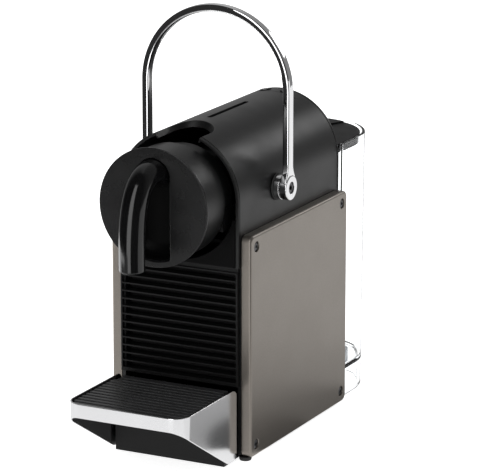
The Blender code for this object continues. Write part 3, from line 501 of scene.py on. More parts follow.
def upper_housing():
    """Arched shell with a groove behind its front rim, a notch for the capsule and a slit along its top."""
    soft, wall = 0.0006, HOUSE_WALL
    y0, y1 = HOUSE_LOW.y, HOUSE_HIGH.y
    groove, half, deep = y0 + 0.0018, 0.00045, 0.0014
    section = [(0, y0 + soft), (0, groove - half), (deep, groove - half), (deep, groove + half),
               (0, groove + half)]
    count, past = 26, 0.001
    section += [(0, groove + past + (y1 - soft - groove - past) * i / count) for i in range(count + 1)]
    for turn in turns(30, 60, 90):
        section.append((soft - soft * cos(turn), y1 - soft + soft * sin(turn)))
    section += [(wall - soft * 0.4, y1), (wall, y1 - soft * 0.4), (wall, y0 + soft * 0.5),
                (wall - soft * 0.5, y0), (soft, y0)]
    for turn in turns(60, 30):
        section.append((soft - soft * cos(turn), y0 + soft - soft * sin(turn)))
    rise, steps = 14, 120
    spine = [(HOUSE_R, HOUSE_LOW.z + (AXIS_Z - HOUSE_LOW.z) * i / rise, 1.0, 0.0) for i in range(rise)]
    for i in range(steps + 1):
        turn = pi * i / steps
        spine.append((HOUSE_R * cos(turn), AXIS_Z + HOUSE_R * sin(turn), cos(turn), sin(turn)))
    spine += [(-x, z, -nx, nz) for x, z, nx, nz in spine[rise - 1::-1]]
    loops = [[(x - nx * d, y, z - nz * d) for d, y in section] for x, z, nx, nz in spine]
    shell = piece("housing_shell", loft(loops))

    fascia_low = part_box("front_fascia")[0].z
    boolean(shell, block(ACROSS, (back(-0.01), back(GAP)), (-0.01, fascia_low - GAP)))
    skin, lip = 0.0014, HOUSE_LOW.y + 0.0008
    collar = []
    for s in (1.0, 0.6, 0.2):
        half, rear = NOTCH_HALF - NOTCH_SLOPE_SIDE * s + skin, NOTCH_REAR - NOTCH_SLOPE_REAR * s + skin
        collar.append(wrap([(a, max(y, lip)) for a, y in notch_outline(half, rear)], HOUSE_R - NOTCH_DEEP * s))
    boolean(shell, loft(collar), "UNION")
    below, above, flare = 0.0085, 0.014, 0.003
    cutter = [notch_at(HOUSE_R - below), notch_at(HOUSE_R - NOTCH_DEEP - 0.0002)]
    cutter += [notch_at(HOUSE_R - deep, more) for deep, more in rolled_rim(0.0004)]
    cutter += [notch_at(HOUSE_R + 0.0006, flare), notch_at(HOUSE_R + above, flare)]
    boolean(shell, loft(cutter))

    def slit(more):
        half = SLIT_HALF + more
        low, high = (-half, back(SLIT_FROM) - more), (half, back(SLIT_TO) + more)
        return rounded_box(low, high, (half * 0.9,) * 4, 4)
    cutter = [wrap(slit(0), HOUSE_IN - 0.001)] + [wrap(slit(m), HOUSE_R - d) for d, m in rolled_rim(0.00015)]
    cutter.append(wrap(slit(0.0006), HOUSE_R + 0.0003))
    insert_low, insert_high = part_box("control_insert")
    across = (insert_low.x - GAP, insert_high.x + GAP)
    window = block(across, (insert_low.y - GAP, back(0.17)), (0.22, 0.25))
    bore = 0.0065
    holes = turned([(bore, x) for x in ACROSS], "X", SHAFT_AXIS, 48)
    boolean(shell, merged([loft(cutter), window, holes]))
    finish(shell, satin_black, "root", ["upper_housing"], 32)


def control_insert():
    """Curved plate at the rear of the housing's top, with a hole for each button."""
    low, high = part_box("control_insert")
    turn, inner = (degrees(asin(high.x / r)) for r in (HOUSE_R, HOUSE_IN))
    outline = (arc(0, AXIS_Z, HOUSE_R, 90 - turn, 90 + turn, 40)
               + arc(0, AXIS_Z, HOUSE_IN, 90 + inner, 90 - inner, 40))
    insert = piece("control_cover", prism(outline, "Y", low.y, high.y))
    bevel(insert, 0.00025, 2, 50)
    hole_r = 0.0047
    for node in ("button_left", "button_right"):
        seat, tilt = button_place(node)
        rim = [(hole_r, -0.008)] + [(hole_r + grow, -deep) for deep, grow in rolled_rim(0.0004)]
        hole = turned(rim + [(0.0056, 0.0004)], "Z", (0, 0), 48)
        hole.transform(Matrix.Translation(seat) @ tilt)
        boolean(insert, hole)
    finish(insert, satin_black, "root", ["control_insert"], 40)


def button_place(node):
    """Where a button's axis meets the housing's surface, and the turn of that axis."""
    low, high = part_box(node)
    side = 1 if low.x + high.x > 0 else -1
    joint = next(j for j in frame["joints"] if j["child"] == node)
    lean = asin(abs(joint["axis"][0]))
    seat = Vector((side * HOUSE_R * sin(lean), (low.y + high.y) / 2, AXIS_Z + HOUSE_R * cos(lean)))
    return seat, Matrix.Rotation(side * lean, 4, "Y")


def button(node, cups):
    """Round push button with a dished face and a plain cup symbol, one or two bars high."""
    profile = [(0.0045, -0.0045), (0.0045, 0.0001), (0.0044, 0.0004), (0.0041, 0.00062), (0.0036, 0.00064),
               (0.0028, 0.0005), (0.0015, 0.00042), (0.0002, 0.0004)]
    key = piece(node + "_key", turned(profile, "Z", (0, 0), 48))
    wide, tall, line, sharp = 0.0019, 0.0008 + 0.0009 * cups, 0.0004, 0.0001
    bend = tall * 0.8
    bowl = rounded_box((-wide, -tall), (wide, tall), (bend, bend, sharp, sharp), 5)
    inner = rounded_box((-wide + line, -tall + line), (wide - line, tall + line),
                        (bend * 0.7, bend * 0.7, sharp, sharp), 5)
    mark = piece(node + "_mark", prism(bowl, "Z", 0.0003, 0.00062))
    boolean(mark, prism(inner, "Z", 0.0, 0.002))
    marks = bmesh.new()
    marks.from_mesh(mark.data)
    boolean(key, marks)
    seat, tilt = button_place(node)
    for thing in (key, mark):
        thing.data.transform(Matrix.Translation(seat) @ tilt)
    finish(mark, mark_white, node, (), 40)
    finish(key, satin_black, node, [node], 40)


def front_fascia():
    """Wall below the brew head, hollowed to clear the drum, coloured with the painted-shade black."""
    low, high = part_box("front_fascia")
    bore, half, shoulder = 0.0442, high.x, high.z
    turn = degrees(asin((AXIS_Z - shoulder) / bore))
    hollow = arc(0, AXIS_Z, bore, -turn, turn - 180, 72)
    outline = [(-half, low.z), (half, low.z), (half, shoulder)] + hollow + [(-half, shoulder)]
    wall = piece("fascia_wall", prism(outline, "Y", low.y, high.y))
    bevel(wall, 0.0004, 3, 40)
    # painted shade: the fascia takes the darkened black that stands in for the head's shade
    finish(wall, painted_shade_black, "root", ["front_fascia"], 30)


def rear_cover():
    """Arched wall that closes the housing in front of the tank, with a hole for the tank's socket."""
    low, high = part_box("rear_cover")
    outline = [(HOUSE_R, low.z)] + arc(0, AXIS_Z, HOUSE_R, 0, 180, 96) + [(-HOUSE_R, low.z)]
    cover = piece("rear_wall", prism(outline, "Y", low.y, high.y))
    socket_low, socket_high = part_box("tank_socket")
    hole_r, centre = 0.0045, ((socket_low.x + socket_high.x) / 2, 0.0125)
    boolean(cover, turned([(hole_r, back(0.15)), (hole_r, back(0.17))], "Y", centre, 32))
    bevel(cover, 0.0005, 3, 40)
    finish(cover, satin_black, "root", ["rear_cover"], 30)


# ---- brew head

RECESS_HALF, RECESS_TOP = 0.013, 0.2095
RECESS_FLOOR = SPOUT_HIGH.y + GAP
RECESS_LIP, RECESS_BEND, RECESS_RISE = 0.0382, 0.0362, 0.0092


def recess_outline(half, foot_r):
    """Outline of the disc's pocket: a half circle on top, and an arc about the head's axis below."""
    turn = degrees(asin(half / foot_r))
    return arc(0, RECESS_TOP, half, 0, 180, 40) + arc(0, AXIS_Z, foot_r, 270 - turn, 270 + turn, 24)


def recess_foot(y):
    """Radius, about the head's axis, of the lower end of the disc's pocket at a depth."""
    if y <= DRUM_LOW.y:
        share = max(0.0, y - DISC_LOW.y) / (DRUM_LOW.y - DISC_LOW.y)
        return RECESS_LIP - (RECESS_LIP - RECESS_BEND) * share
    share = min(1.0, (y - DRUM_LOW.y) / (RECESS_FLOOR - DRUM_LOW.y))
    return RECESS_BEND - RECESS_RISE * (1 - sqrt(1 - share * share))


def head_disc():
    """Round plate with a narrow groove in its edge, and a lined pocket that the spout comes out of; the lining
    is coloured with the painted-shade black.
    """
    r, front, rear = DISC_HIGH.x, DISC_LOW.y, back(-0.0381)
    lip, gap_end, waist = front + 0.0011, front + 0.0025, r - 0.0012
    profile = soft_profile([(CORE, front, 0), (r, front, 0.0006), (r, rear), (CORE, rear, 0)], 0.0003, 6)
    disc = piece("head_plate", turned(profile, "Y", HEAD_AXIS, 160))
    depths = [DRUM_LOW.y + (RECESS_FLOOR - DRUM_LOW.y) * sin(radians(7.5 * i)) for i in range(13)]
    most, skin, clear_of = 0.0372, 0.0016, 0.0006
    shell = []
    for y in [rear] + depths + [RECESS_FLOOR + 0.002]:
        foot_r = min(recess_foot(y - skin) + 0.001, most)
        shell.append(lift(recess_outline(RECESS_HALF + skin, foot_r), "Y", y))
    liner = piece("head_pocket", loft(shell))
    cutter = [lift(recess_outline(RECESS_HALF + clear_of, RECESS_LIP + clear_of), "Y", back(-0.05))]
    for deep, grow in rolled_rim(0.0005)[::-1]:
        y = front + deep
        cutter.append(lift(recess_outline(RECESS_HALF + grow, recess_foot(y) + grow), "Y", y))
    cutter += [lift(recess_outline(RECESS_HALF, recess_foot(y)), "Y", y) for y in depths]
    outlet_r, outlet_z = 0.0048, 0.2050
    boolean(liner, loft(cutter))
    boolean(liner, turned([(outlet_r, back(y)) for y in (-0.03, -0.02)], "Y", (0, outlet_z), 32))
    # painted shade: the pocket's lining takes the darkened black that stands in for the shade inside it
    finish(liner, painted_shade_black, "brew_head", (), 32)
    boolean(disc, loft(cutter))
    ring = [(waist, lip), (r + 0.001, lip), (r + 0.001, gap_end), (waist, gap_end)]
    boolean(disc, turned(ring, "Y", HEAD_AXIS, 160, True))
    finish(disc, head_black, "brew_head", ["head_disc"], 32)


def head_drum():
    """Sleeve behind the disc, with a slotted arm on each side for the crank's pin."""
    r, thick, rear_thick = 0.04, 0.0025, 0.0018
    waist, step, rear = r - 0.0035, back(-0.0095), back(0.008)
    corners = [(r - thick, DRUM_LOW.y), (r, DRUM_LOW.y), (r, step), (waist, step), (waist, rear),
               (waist - rear_thick, rear), (waist - rear_thick, step - 0.0025), (r - thick, step - 0.0035)]
    drum = piece("head_sleeve", turned(soft_profile(corners, 0.0004), "Y", HEAD_AXIS, 160, True))
    arm_low, arm_high, arm_top = 0.033, 0.0365, (0.1670, 0.1828)
    arms = [block(sorted((s * arm_low, s * arm_high)), (back(-0.006), DRUM_HIGH.y), arm_top) for s in (-1, 1)]
    boolean(drum, merged(arms), "UNION")
    pin, play, slot_z = PIVOT_Y - 0.01, 0.003, (0.1705, 0.1805)
    slots = [block(sorted((s * 0.03, s * 0.04)), (pin - play, pin + play), slot_z) for s in (-1, 1)]
    boolean(drum, merged(slots))
    finish(drum, satin_black, "brew_head", ["head_drum"], 32)


def bezier(ends, t):
    """Point and slope on a cubic curve through the plane."""
    weights = ((1 - t) ** 3, 3 * t * (1 - t) ** 2, 3 * t * t * (1 - t), t ** 3)
    slopes = (-3 * (1 - t) ** 2, 3 * (1 - t) * (1 - 3 * t), 3 * t * (2 - 3 * t), 3 * t * t)
    return [[sum(w * end[k] for w, end in zip(shares, ends)) for k in (0, 1)] for shares in (weights, slopes)]


def coffee_spout():
    """Bent tube, wide where it leaves the pocket, that turns straight down over the cup."""
    wide, deep, wall, soft = 0.0093, 0.0088, 0.0016, 0.0004
    flare_wide, flare_deep, flare_part = SPOUT_HIGH.x - wide, 0.0017, 0.55
    ends = [(SPOUT_HIGH.y, 0.2100), (back(-0.05), 0.2175), (back(-0.0725), 0.2130),
            (back(-0.07), SPOUT_LOW.z + soft)]
    steps, sides = 60, 72
    around = [2 * pi * k / sides for k in range(sides)]

    def ring(t, thin):
        (y, z), (dy, dz) = bezier(ends, t)
        if t == 0:
            dy, dz = -1, 0
        ny, nz = -dz / hypot(dy, dz), dy / hypot(dy, dz)
        flare = max(0.0, 1 - t / flare_part)
        a, b = wide + flare_wide * flare ** 1.5 - thin, deep + flare_deep * flare ** 2 - thin
        return [(a * cos(u), y + b * sin(u) * ny, z + b * sin(u) * nz) for u in around]

    def rounded(share):
        return 0.5 * (1 - sqrt(1 - share * share))
    last = 1 - soft / 0.045 / 3 * 2
    shares = (0.4, 0.75, 0.95)
    rings = [ring(i / steps * last, 0) for i in range(steps + 1)]
    rings += [ring(last + (1 - last) * s, wall * rounded(s)) for s in shares]
    rings += [ring(1, wall * 0.5)]
    rings += [ring(last + (1 - last) * s, wall * (1 - rounded(s))) for s in shares[::-1]]
    rings += [ring(i / steps * last, wall) for i in range(steps, -1, -1)]
    spout = piece("spout_tube", loft(rings, True))
    finish(spout, gloss_black, "brew_head", ["coffee_spout"], 60)


# ---- lever

def lever_handle():
    """Flat bar bent to a half-round arch, with a boss at each foot for its screw."""
    thick, wide, power, sides = 0.0058, 0.0074, 4.4, 56
    top, foot_z = AXIS_Z + 0.0676, 0.004
    radius = HANDLE_HIGH.z - top - thick / 2
    section = []
    for i in range(sides):
        turn = 2 * pi * (i + 0.5) / sides
        c, s = cos(turn), sin(turn)
        crown = (abs(c) ** power + abs(s) ** power) ** (-1 / power)
        section.append((thick / 2 * c * crown, wide / 2 * s * crown))
    rise, steps = 12, 120
    spine = [(radius, AXIS_Z + foot_z + (top - AXIS_Z - foot_z) * i / rise, 0) for i in range(rise)]
    for turn in (pi * i / steps for i in range(steps + 1)):
        spine.append((radius * cos(turn), top + radius * sin(turn), turn))
    spine += [(-x, z, pi) for x, z, _ in spine[rise - 1::-1]]
    loops = []
    for x, z, turn in spine:
        loops.append([(x + a * cos(turn), PIVOT_Y + b, z + a * sin(turn)) for a, b in section])
    handle = piece("lever_bar", loft(loops))
    outer, inner, r, bore_r = HANDLE_HIGH.x, HANDLE_IN, 0.0089, 0.0042
    profile = soft_profile([(CORE, inner, 0), (r, inner), (r, outer), (CORE, outer, 0)], 0.0009, 6)
    bore = [(bore_r, 0.05), (bore_r, outer - 0.0004), (0.0043, outer - 0.0002), (0.005, outer + 0.0003)]
    flare = [(0.0036, 0.0175), (0.0039, 0.015), (0.0045, 0.012), (0.0052, 0.0103), (0.0062, 0.0086),
             (0.008, 0.004)]
    web = [(PIVOT_Y - b, AXIS_Z + z) for b, z in flare] + [(PIVOT_Y + b, AXIS_Z + z) for b, z in flare[::-1]]
    inset = 0.0006
    for s in (-1, 1):
        gusset = piece("lever_foot", prism(web, "X", s * (inner + inset), s * (outer - inset)))
        bevel(gusset, 0.0008, 3, 50)
        boolean(handle, shape_of(gusset), "UNION")
    boolean(handle, merged([crosswise(profile, s, SHAFT_AXIS) for s in (-1, 1)]), "UNION")
    boolean(handle, merged([crosswise(bore, s, SHAFT_AXIS, 64) for s in (-1, 1)]))
    finish(handle, chrome, "lever", ["lever_handle"], 40)


def lever_hub(side, word):
    """Spacer between the housing and the handle: a chromed barrel on a thin black ring."""
    low, high = HOUSE_R + GAP, HANDLE_IN - GAP
    foot, bore, r = low + 0.0011, 0.0043, 0.009
    barrel = soft_profile([(bore, foot), (r, foot), (r, high), (bore, high)], 0.0004)
    hub = piece("hub_barrel_" + word, crosswise(barrel, side, SHAFT_AXIS, 96, True))
    finish(hub, chrome, "lever", ["lever_hub_" + word], 40)
    bore, top = 0.0046, low + 0.001
    seal = soft_profile([(bore, low), (0.0099, low), (0.0096, top), (bore, top)], 0.0003)
    ring = piece("hub_black_ring_" + word, crosswise(seal, side, SHAFT_AXIS, 96, True))
    finish(ring, rubber, "lever", (), 40)


def hub_screw(side, word):
    """Socket screw in the handle's boss."""
    tip, head, top, shank_r, head_r = 0.0518, 0.0545, 0.0584, 0.002, 0.0038
    corners = [(CORE, tip, 0), (shank_r, tip), (shank_r, head), (head_r, head), (head_r, top, 0.0005),
               (CORE, top, 0)]
    screw = piece("hub_bolt_" + word, crosswise(soft_profile(corners, 0.0002), side, SHAFT_AXIS, 64))
    socket = [(0.002, 0.0566), (0.002, top - 0.0002), (0.0024, top + 0.0002)]
    boolean(screw, crosswise(socket, side, SHAFT_AXIS, 6))
    finish(screw, dark_steel, "lever", ["hub_screw_" + word], 40)


# ---- drip unit

def capsule_container():
    """Bin for the used capsules, behind a front of level louvres."""
    first, pitch, count, high = 0.0574, 0.00571, 15, 0.0011
    tip, half = BIN_LOW.y, BIN_HIGH.x
    face_rear, slot_rear, front_rear, tub_top = back(-0.0005), back(0.006), back(0.0076), 0.1380
    behind, throat, room = 0.0443, 0.0437, 0.0415
    bin_shell = piece("bin_shell", block((-half, half), (tip, face_rear), (BIN_LOW.z, BIN_HIGH.z)))
    upright = (BIN_LOW.z, tub_top)
    boolean(bin_shell, block((-behind, behind), (face_rear - 0.0007, front_rear), upright), "UNION")
    boolean(bin_shell, block((UNIT_LOW.x, UNIT_HIGH.x), (back(0.004), BIN_HIGH.y), upright), "UNION")
    boolean(bin_shell, block((-room, room), (front_rear, back(0.08)), (0.0575, 0.16)))
    ahead, step, mouth = tip - 0.01, face_rear - 0.0004, half - 0.0012
    plan = [(-mouth, ahead), (mouth, ahead), (mouth, step), (throat, step),
            (throat, slot_rear), (-throat, slot_rear), (-throat, step), (-mouth, step)]
    tops = [first + i * pitch + high / 2 for i in range(count)]
    boolean(bin_shell, merged([prism(plan, "Z", z, z + pitch - high) for z in tops[:-1]]))
    boolean(bin_shell, block(ACROSS, (ahead, tip + 0.0014), (tops[-1], 0.15)))
    bevel(bin_shell, 0.00025, 2, 60)
    finish(bin_shell, black, "drip_unit", ["capsule_container"], 30)


def drip_base():
    """Tub that catches the drips, with a skirt that reaches the floor in front of the machine."""
    y0, y1, top, half = UNIT_LOW.y, UNIT_HIGH.y, UNIT_HIGH.z, UNIT_HIGH.x
    skirt_rear, belly, room, mouth = back(-0.001), 0.0047, 0.0415, 0.021
    outline = [(y0, UNIT_LOW.z), (skirt_rear, UNIT_LOW.z), (skirt_rear, belly), (y1, belly), (y1, top),
               (y0 + 0.0015, top), (y0, 0.0405)]
    tub = piece("drip_tub", prism(outline, "X", -half, half))
    boolean(tub, block((-room, room), (y0 + 0.0022, back(0.08)), (0.007, 0.06)))
    boolean(tub, block((-mouth, mouth), (back(-0.03), back(-0.01)), (0.0405, 0.06)))
    rod_low, rod_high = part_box("support_hinge_rod")
    spot = ((rod_low.y + rod_high.y) / 2, (rod_low.z + rod_high.z) / 2)
    boolean(tub, turned([(0.002, x) for x in (-0.05, 0.05)], "X", spot, 24))
    bevel(tub, 0.0005, 3, 40)
    finish(tub, black, "drip_unit", ["drip_base"], 30)


def cup_support():
    """Bent sheet: a front band with round corners that sweeps down into two cheeks."""
    sheet, corner, edge = 0.0012, 0.012, 0.00045
    half, front, rear = CUP_HIGH.x, CUP_LOW.y, CUP_HIGH.y
    top, low, band_low = CUP_HIGH.z, CUP_LOW.z, 0.0442
    rear_r, foot_r, sweep = 0.006, 0.004, back(-0.0716)

    def z_top(y):
        over = max(0.0, y - (rear - rear_r))
        return top - rear_r + sqrt(max(0.0, rear_r ** 2 - over ** 2))

    def z_low(y):
        bend = max(0.0, sweep - y) / 0.0134
        slope = 0.0351 - 0.597 * (y - sweep) + 0.0011 * bend ** 2
        swept = soft_low(band_low, slope, 0.0001)
        swept = -soft_low(-swept, -low, 0.0006)
        over = max(0.0, y - (rear - foot_r))
        return swept + foot_r - sqrt(max(0.0, foot_r ** 2 - over ** 2))

    stations = [rear - rear_r + rear_r * cos(radians(7.5 * i)) for i in range(13)]
    stations += [rear - rear_r - (rear - rear_r - front - corner) * i / 40 for i in range(1, 40)]
    side_path = [(-half, y, -1.0, 0.0) for y in stations]
    for i in range(25):
        turn = radians(180 + 3.75 * i)
        side_path.append((-half + corner + corner * cos(turn), front + corner + corner * sin(turn),
                          cos(turn), sin(turn)))
    span = half - corner
    side_path += [(-span + span * i / 8, front, 0.0, -1.0) for i in range(1, 9)]
    path = side_path + [(-x, y, -nx, ny) for x, y, nx, ny in side_path[-2::-1]]

    def column(x, y, nx, ny, pinch):
        low_z, top_z = z_low(y) + pinch, z_top(y) - pinch
        r = max(edge - pinch, 0.00005)
        outline = rounded_box((pinch, low_z), (sheet - pinch, top_z), (r, r, r, r), 4)
        return [(x - nx * d, y - ny * d, z) for d, z in outline]
    loops = []
    for k, (x, y, nx, ny) in enumerate(path):
        end = min(k, len(path) - 1 - k)
        pinch = (0.0004, 0.0002, 0.0001, 0.00004)[end] if end < 4 else 0.0
        loops.append(column(x, y, nx, ny, pinch))
    support = piece("cup_band", loft(loops))
    finish(support, satin_chrome, "cup_support", ["cup_support"], 40)


def cup_grid():
    """Removable grid of rounded bars across its whole width, with slots between them."""
    first, pitch, count, slot_half = 0.0768, 0.00562, 12, 0.001
    deep, r, corner, rear_corner = 0.0018, 0.0007, 0.0094, 0.001
    y0, y1, top, low = GRID_LOW.y, GRID_HIGH.y, GRID_HIGH.z, GRID_LOW.z
    through = (0.04, 0.06)
    edges = [back(-first + i * pitch) for i in range(count)]
    starts = [y0] + [y + slot_half for y in edges]
    ends = [y - slot_half for y in edges] + [y1]
    outline = [(y1, low), (y0, low)]
    for a, b in zip(starts, ends):
        outline += [(a, top - deep)] if a != y0 else []
        outline += arc(a + r, top - r, r, 180, 90, 5) + arc(b - r, top - r, r, 90, 0, 5)
        outline += [(b, top - deep)] if b != y1 else []
    grid = piece("grid_bars", prism(outline, "X", GRID_LOW.x - 0.001, GRID_HIGH.x + 0.001))
    plan = rounded_box((GRID_LOW.x, y0), (GRID_HIGH.x, y1), (corner, corner, rear_corner, rear_corner), 12)
    boolean(grid, prism(plan, "Z", *through), "INTERSECT")
    notch, notch_x = back(-0.0192), (0.0411, 0.05)
    boolean(grid, merged([block(sorted(s * x for x in notch_x), (notch, 0), through) for s in (-1, 1)]))
    slots = []
    for i, y in enumerate(edges):
        reach = GRID_HIGH.x - 0.0028 - (0.0022 if y + slot_half > notch or i == 0 else 0)
        slots.append(block((-reach, reach), (y - slot_half * 0.9, y + slot_half * 0.9), through))
    boolean(grid, merged(slots))
    finish(grid, grid_black, "cup_grid", ["cup_grid"], 35)


# ---- water tank

TANK_HALF = TANK_HIGH.x
TANK_MID = TANK_HIGH.y - TANK_HALF
TANK_FLOOR, TANK_WALL = 0.0215, 0.0024
TANK_DRAFT = 0.0016


def d_outline(half, front, corner):
    """Straight front and sides, round back, with softened front corners."""
    return (arc(-half + corner, front + corner, corner, 180, 270, 5)
            + arc(half - corner, front + corner, corner, 270, 360, 5)
            + arc(0, TANK_MID, half, 0, 180, 72))


def tank_loop(inset, z, corner):
    """Outline of the tank at a height, inset from its outside: it narrows downwards."""
    half = TANK_HALF - TANK_DRAFT * (TANK_HIGH.z - z) / (TANK_HIGH.z - TANK_LOW.z) - inset
    return lift(d_outline(half, TANK_LOW.y + (TANK_HALF - half), corner), "Z", z)


def water_tank():
    """Clear tank with a floor above its foot, softened edges, and a notch for the socket."""
    foot_z, rim = TANK_LOW.z, TANK_HIGH.z
    soft, edge, wall, under = 0.0006, 0.0002, TANK_WALL, TANK_FLOOR

    def loop(inset, z):
        return tank_loop(inset, z, max(0.0018 - inset * 0.6, 0.0004))
    fillet, floor_top = 0.0014, TANK_FLOOR + TANK_WALL
    loops = []
    for turn in turns(0, 20, 40, 60, 80, 90):
        loops.append(loop(wall + fillet * (1 - sin(turn)), floor_top + fillet * (1 - cos(turn))))
    rise = rim - soft - floor_top - fillet
    loops += [loop(wall, floor_top + fillet + rise * i / 8) for i in range(1, 9)]
    loops += [loop(wall - edge, rim - edge), loop(wall - soft, rim), loop(soft, rim), loop(edge, rim - edge)]
    loops += [loop(0, rim - soft - (rim - 2 * soft - foot_z) * i / 12) for i in range(13)]
    loops += [loop(edge, foot_z + edge), loop(soft, foot_z), loop(wall - soft, foot_z),
              loop(wall, foot_z + soft), loop(wall, under - 0.002), loop(wall + soft, under - soft),
              loop(wall + 0.002, under)]
    tank = piece("tank_body", loft(loops))
    boolean(tank, block((-0.008, 0.03), (back(0.15), back(0.1660)), (-0.01, 0.0205)))
    finish(tank, tank_clear, "tank", ["water_tank"], 35)


def tank_seal():
    """Thin black ring let into the tank's wall at the height of its floor."""
    low, high = 0.0222, 0.0236
    out, deep, soft = -0.0001, 0.001, 0.0002
    corners = [(deep, low), (out + soft, low), (out, low + soft), (out, high - soft), (out + soft, high),
               (deep, high)]
    loops = [tank_loop(inset, z, 0.003 - inset) for inset, z in corners]
    seal = piece("tank_seal_ring", loft(loops, True))
    finish(seal, rubber, "tank", (), 30)


def tank_valve():
    """Filter housing over the outlet in the tank's floor, with level louvres."""
    low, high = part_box("tank_valve")
    corner, base, cap_r, soft = 0.004, high.z - 0.006, 0.01, 0.0008
    outline = rounded_box((low.x, low.y), (high.x, high.y), (corner, corner, 0.01, corner), 8)
    valve = piece("valve_housing", prism(outline, "Z", low.z, base))
    cap = [(cap_r, base - 0.001), (cap_r, high.z - soft), (cap_r - soft, high.z)]
    boolean(valve, turned(cap, "Z", (0.03, back(0.1780)), 48), "UNION")
    grooves = []
    half, front = 0.0005, high.y - 0.0006
    for i in range(3):
        z = base - 0.002 - i * 0.0022
        grooves.append(block((low.x + corner, 0.05), (front, high.y + 0.01), (z - half, z + half)))
    boolean(valve, merged(grooves))
    bevel(valve, 0.0003, 2, 40)
    finish(valve, pale_plastic, "tank", ["tank_valve"], 30)


def tank_lid():
    """Lid with a tapering skirt and a raised finger tab at the back."""
    top, skirt = LID_HIGH.z - 0.001, LID_LOW.z
    half, front = LID_HIGH.x, LID_LOW.y
    plate, wall, soft, ahead = 0.0024, 0.0015, 0.0007, 0.0004

    def loop(size, ahead, z):
        return lift(d_outline(size, front + ahead, 0.0022), "Z", z)
    loops = []
    for turn in turns(0, 22, 45, 67, 90):
        rolled = soft * (1 - sin(turn))
        loops.append(loop(half - rolled, rolled, top - soft * (1 - cos(turn))))
    hem, under = half - 0.0013, top - plate
    loops += [loop(half, 0, under), loop(hem + 0.0003, 0.0003, under - 0.0006), loop(hem, ahead, skirt),
              loop(hem - wall, wall + ahead, skirt), loop(hem - 0.0008, wall, under)]
    lid = piece("lid_shell", loft(loops))
    tab = arc(0, TANK_MID, 0.0452, 66, 114, 30) + arc(0, TANK_MID, 0.033, 114, 66, 30)
    raised = piece("tab", prism(tab, "Z", top - 0.001, LID_HIGH.z))
    bevel(raised, 0.0004, 2, 40)
    boolean(lid, shape_of(raised), "UNION")
    finish(lid, lid_black, "tank_lid", ["tank_lid"], 32)


# ---- pieces that keep their CAD shape

def paint_cad():
    """Give the pieces that keep their CAD shape their materials."""
    finishes = {
        black: "base_plate panel_carrier_left panel_carrier_right bulkhead injector capsule_cage support_tray"
               " tank_socket",
        rubber: "pump_mount cord_gland",
        dark_steel: "pump lever_shaft crank_left crank_right support_hinge_rod",
        cast_alloy: "thermoblock thermostat",
        pale_plastic: "flow_meter shaft_bush_left shaft_bush_right",
        board_green: "control_board",
        hose_clear: "hose_tank hose_pump hose_heater",
    }
    for material, nodes in finishes.items():
        for node in nodes.split():
            slots = frame["nodes"][node].data.materials
            slots.clear()
            slots.append(material)


# ---- floor, light and camera

def compass(azimuth, elevation=0.0):
    """Direction at an azimuth counted from the front towards the right, and an elevation, in degrees."""
    turn, rise = radians(azimuth), radians(elevation)
    return Vector((sin(turn) * cos(rise), -cos(turn) * cos(rise), sin(rise)))


def glow(name, strength):
    """Even white light from a surface."""
    material = bpy.data.materials.new(name)
    material.use_nodes = True
    tree = material.node_tree
    tree.nodes.clear()
    light = add(tree, "Emission", {"Strength": strength})
    link(light.outputs["Emission"], add(tree, "OutputMaterial").inputs["Surface"])
    return material


def card(name, points, strength):
    bm = bmesh.new()
    bm.faces.new([bm.verts.new(p) for p in points])
    light_card(name, bm, strength)


def light_card(name, bm, strength):
    """Card of the studio that shows only in reflections."""
    thing = piece(name, bm)
    thing.data.materials.append(glow(name + "_light", strength))
    thing.visible_camera = False
    thing.visible_diffuse = False
    thing.visible_shadow = False
    thing.visible_transmission = False


def softbox(name, azimuth, elevation, distance, width, height, strength):
    """Upright card that faces the machine."""
    centre = Vector((0, 0, 0.17)) + compass(azimuth, elevation) * distance
    across, rise = compass(azimuth + 90), compass(azimuth, elevation + 90)
    corners = ((-1, -1), (1, -1), (1, 1), (-1, 1))
    card(name, [centre + across * a * width / 2 + rise * b * height / 2 for a, b in corners], strength)


def sector(azimuths):
    """Even steps through a range of azimuths."""
    start, end = azimuths
    return [start + (end - start) * i / 24 for i in range(25)]


def curtain(name, azimuths, distance, heights, strength):
    """Upright card bent round the machine."""
    bm = bmesh.new()
    foot = [compass(t) * distance for t in sector(azimuths)]
    rows = [[bm.verts.new(p + Vector((0, 0, z))) for p in foot] for z in heights]
    for i in range(len(rows[0]) - 1):
        bm.faces.new((rows[0][i], rows[0][i + 1], rows[1][i + 1], rows[1][i]))
    light_card(name, bm, strength)


def paper(name, azimuths, radii, strength):
    """Sector of the floor that is bright in reflections."""
    near, far = radii
    points = [compass(t) * far for t in sector(azimuths)] + [compass(t) * near for t in sector(azimuths)[::-1]]
    card(name, [(p.x, p.y, -0.0001) for p in points], strength)


def stage_floor():
    size = 6.0
    floor = piece("floor", block((-size, size), (-size, size), (-0.01, -0.0002)))
    material, shader = shader_of("floor_paper", (0.92, 0.92, 0.92), 0.8)
    shader.inputs["Emission Color"].default_value = (1, 1, 1, 1)
    shader.inputs["Emission Strength"].default_value = 0.80
    floor.data.materials.append(material)
    floor.visible_glossy = False


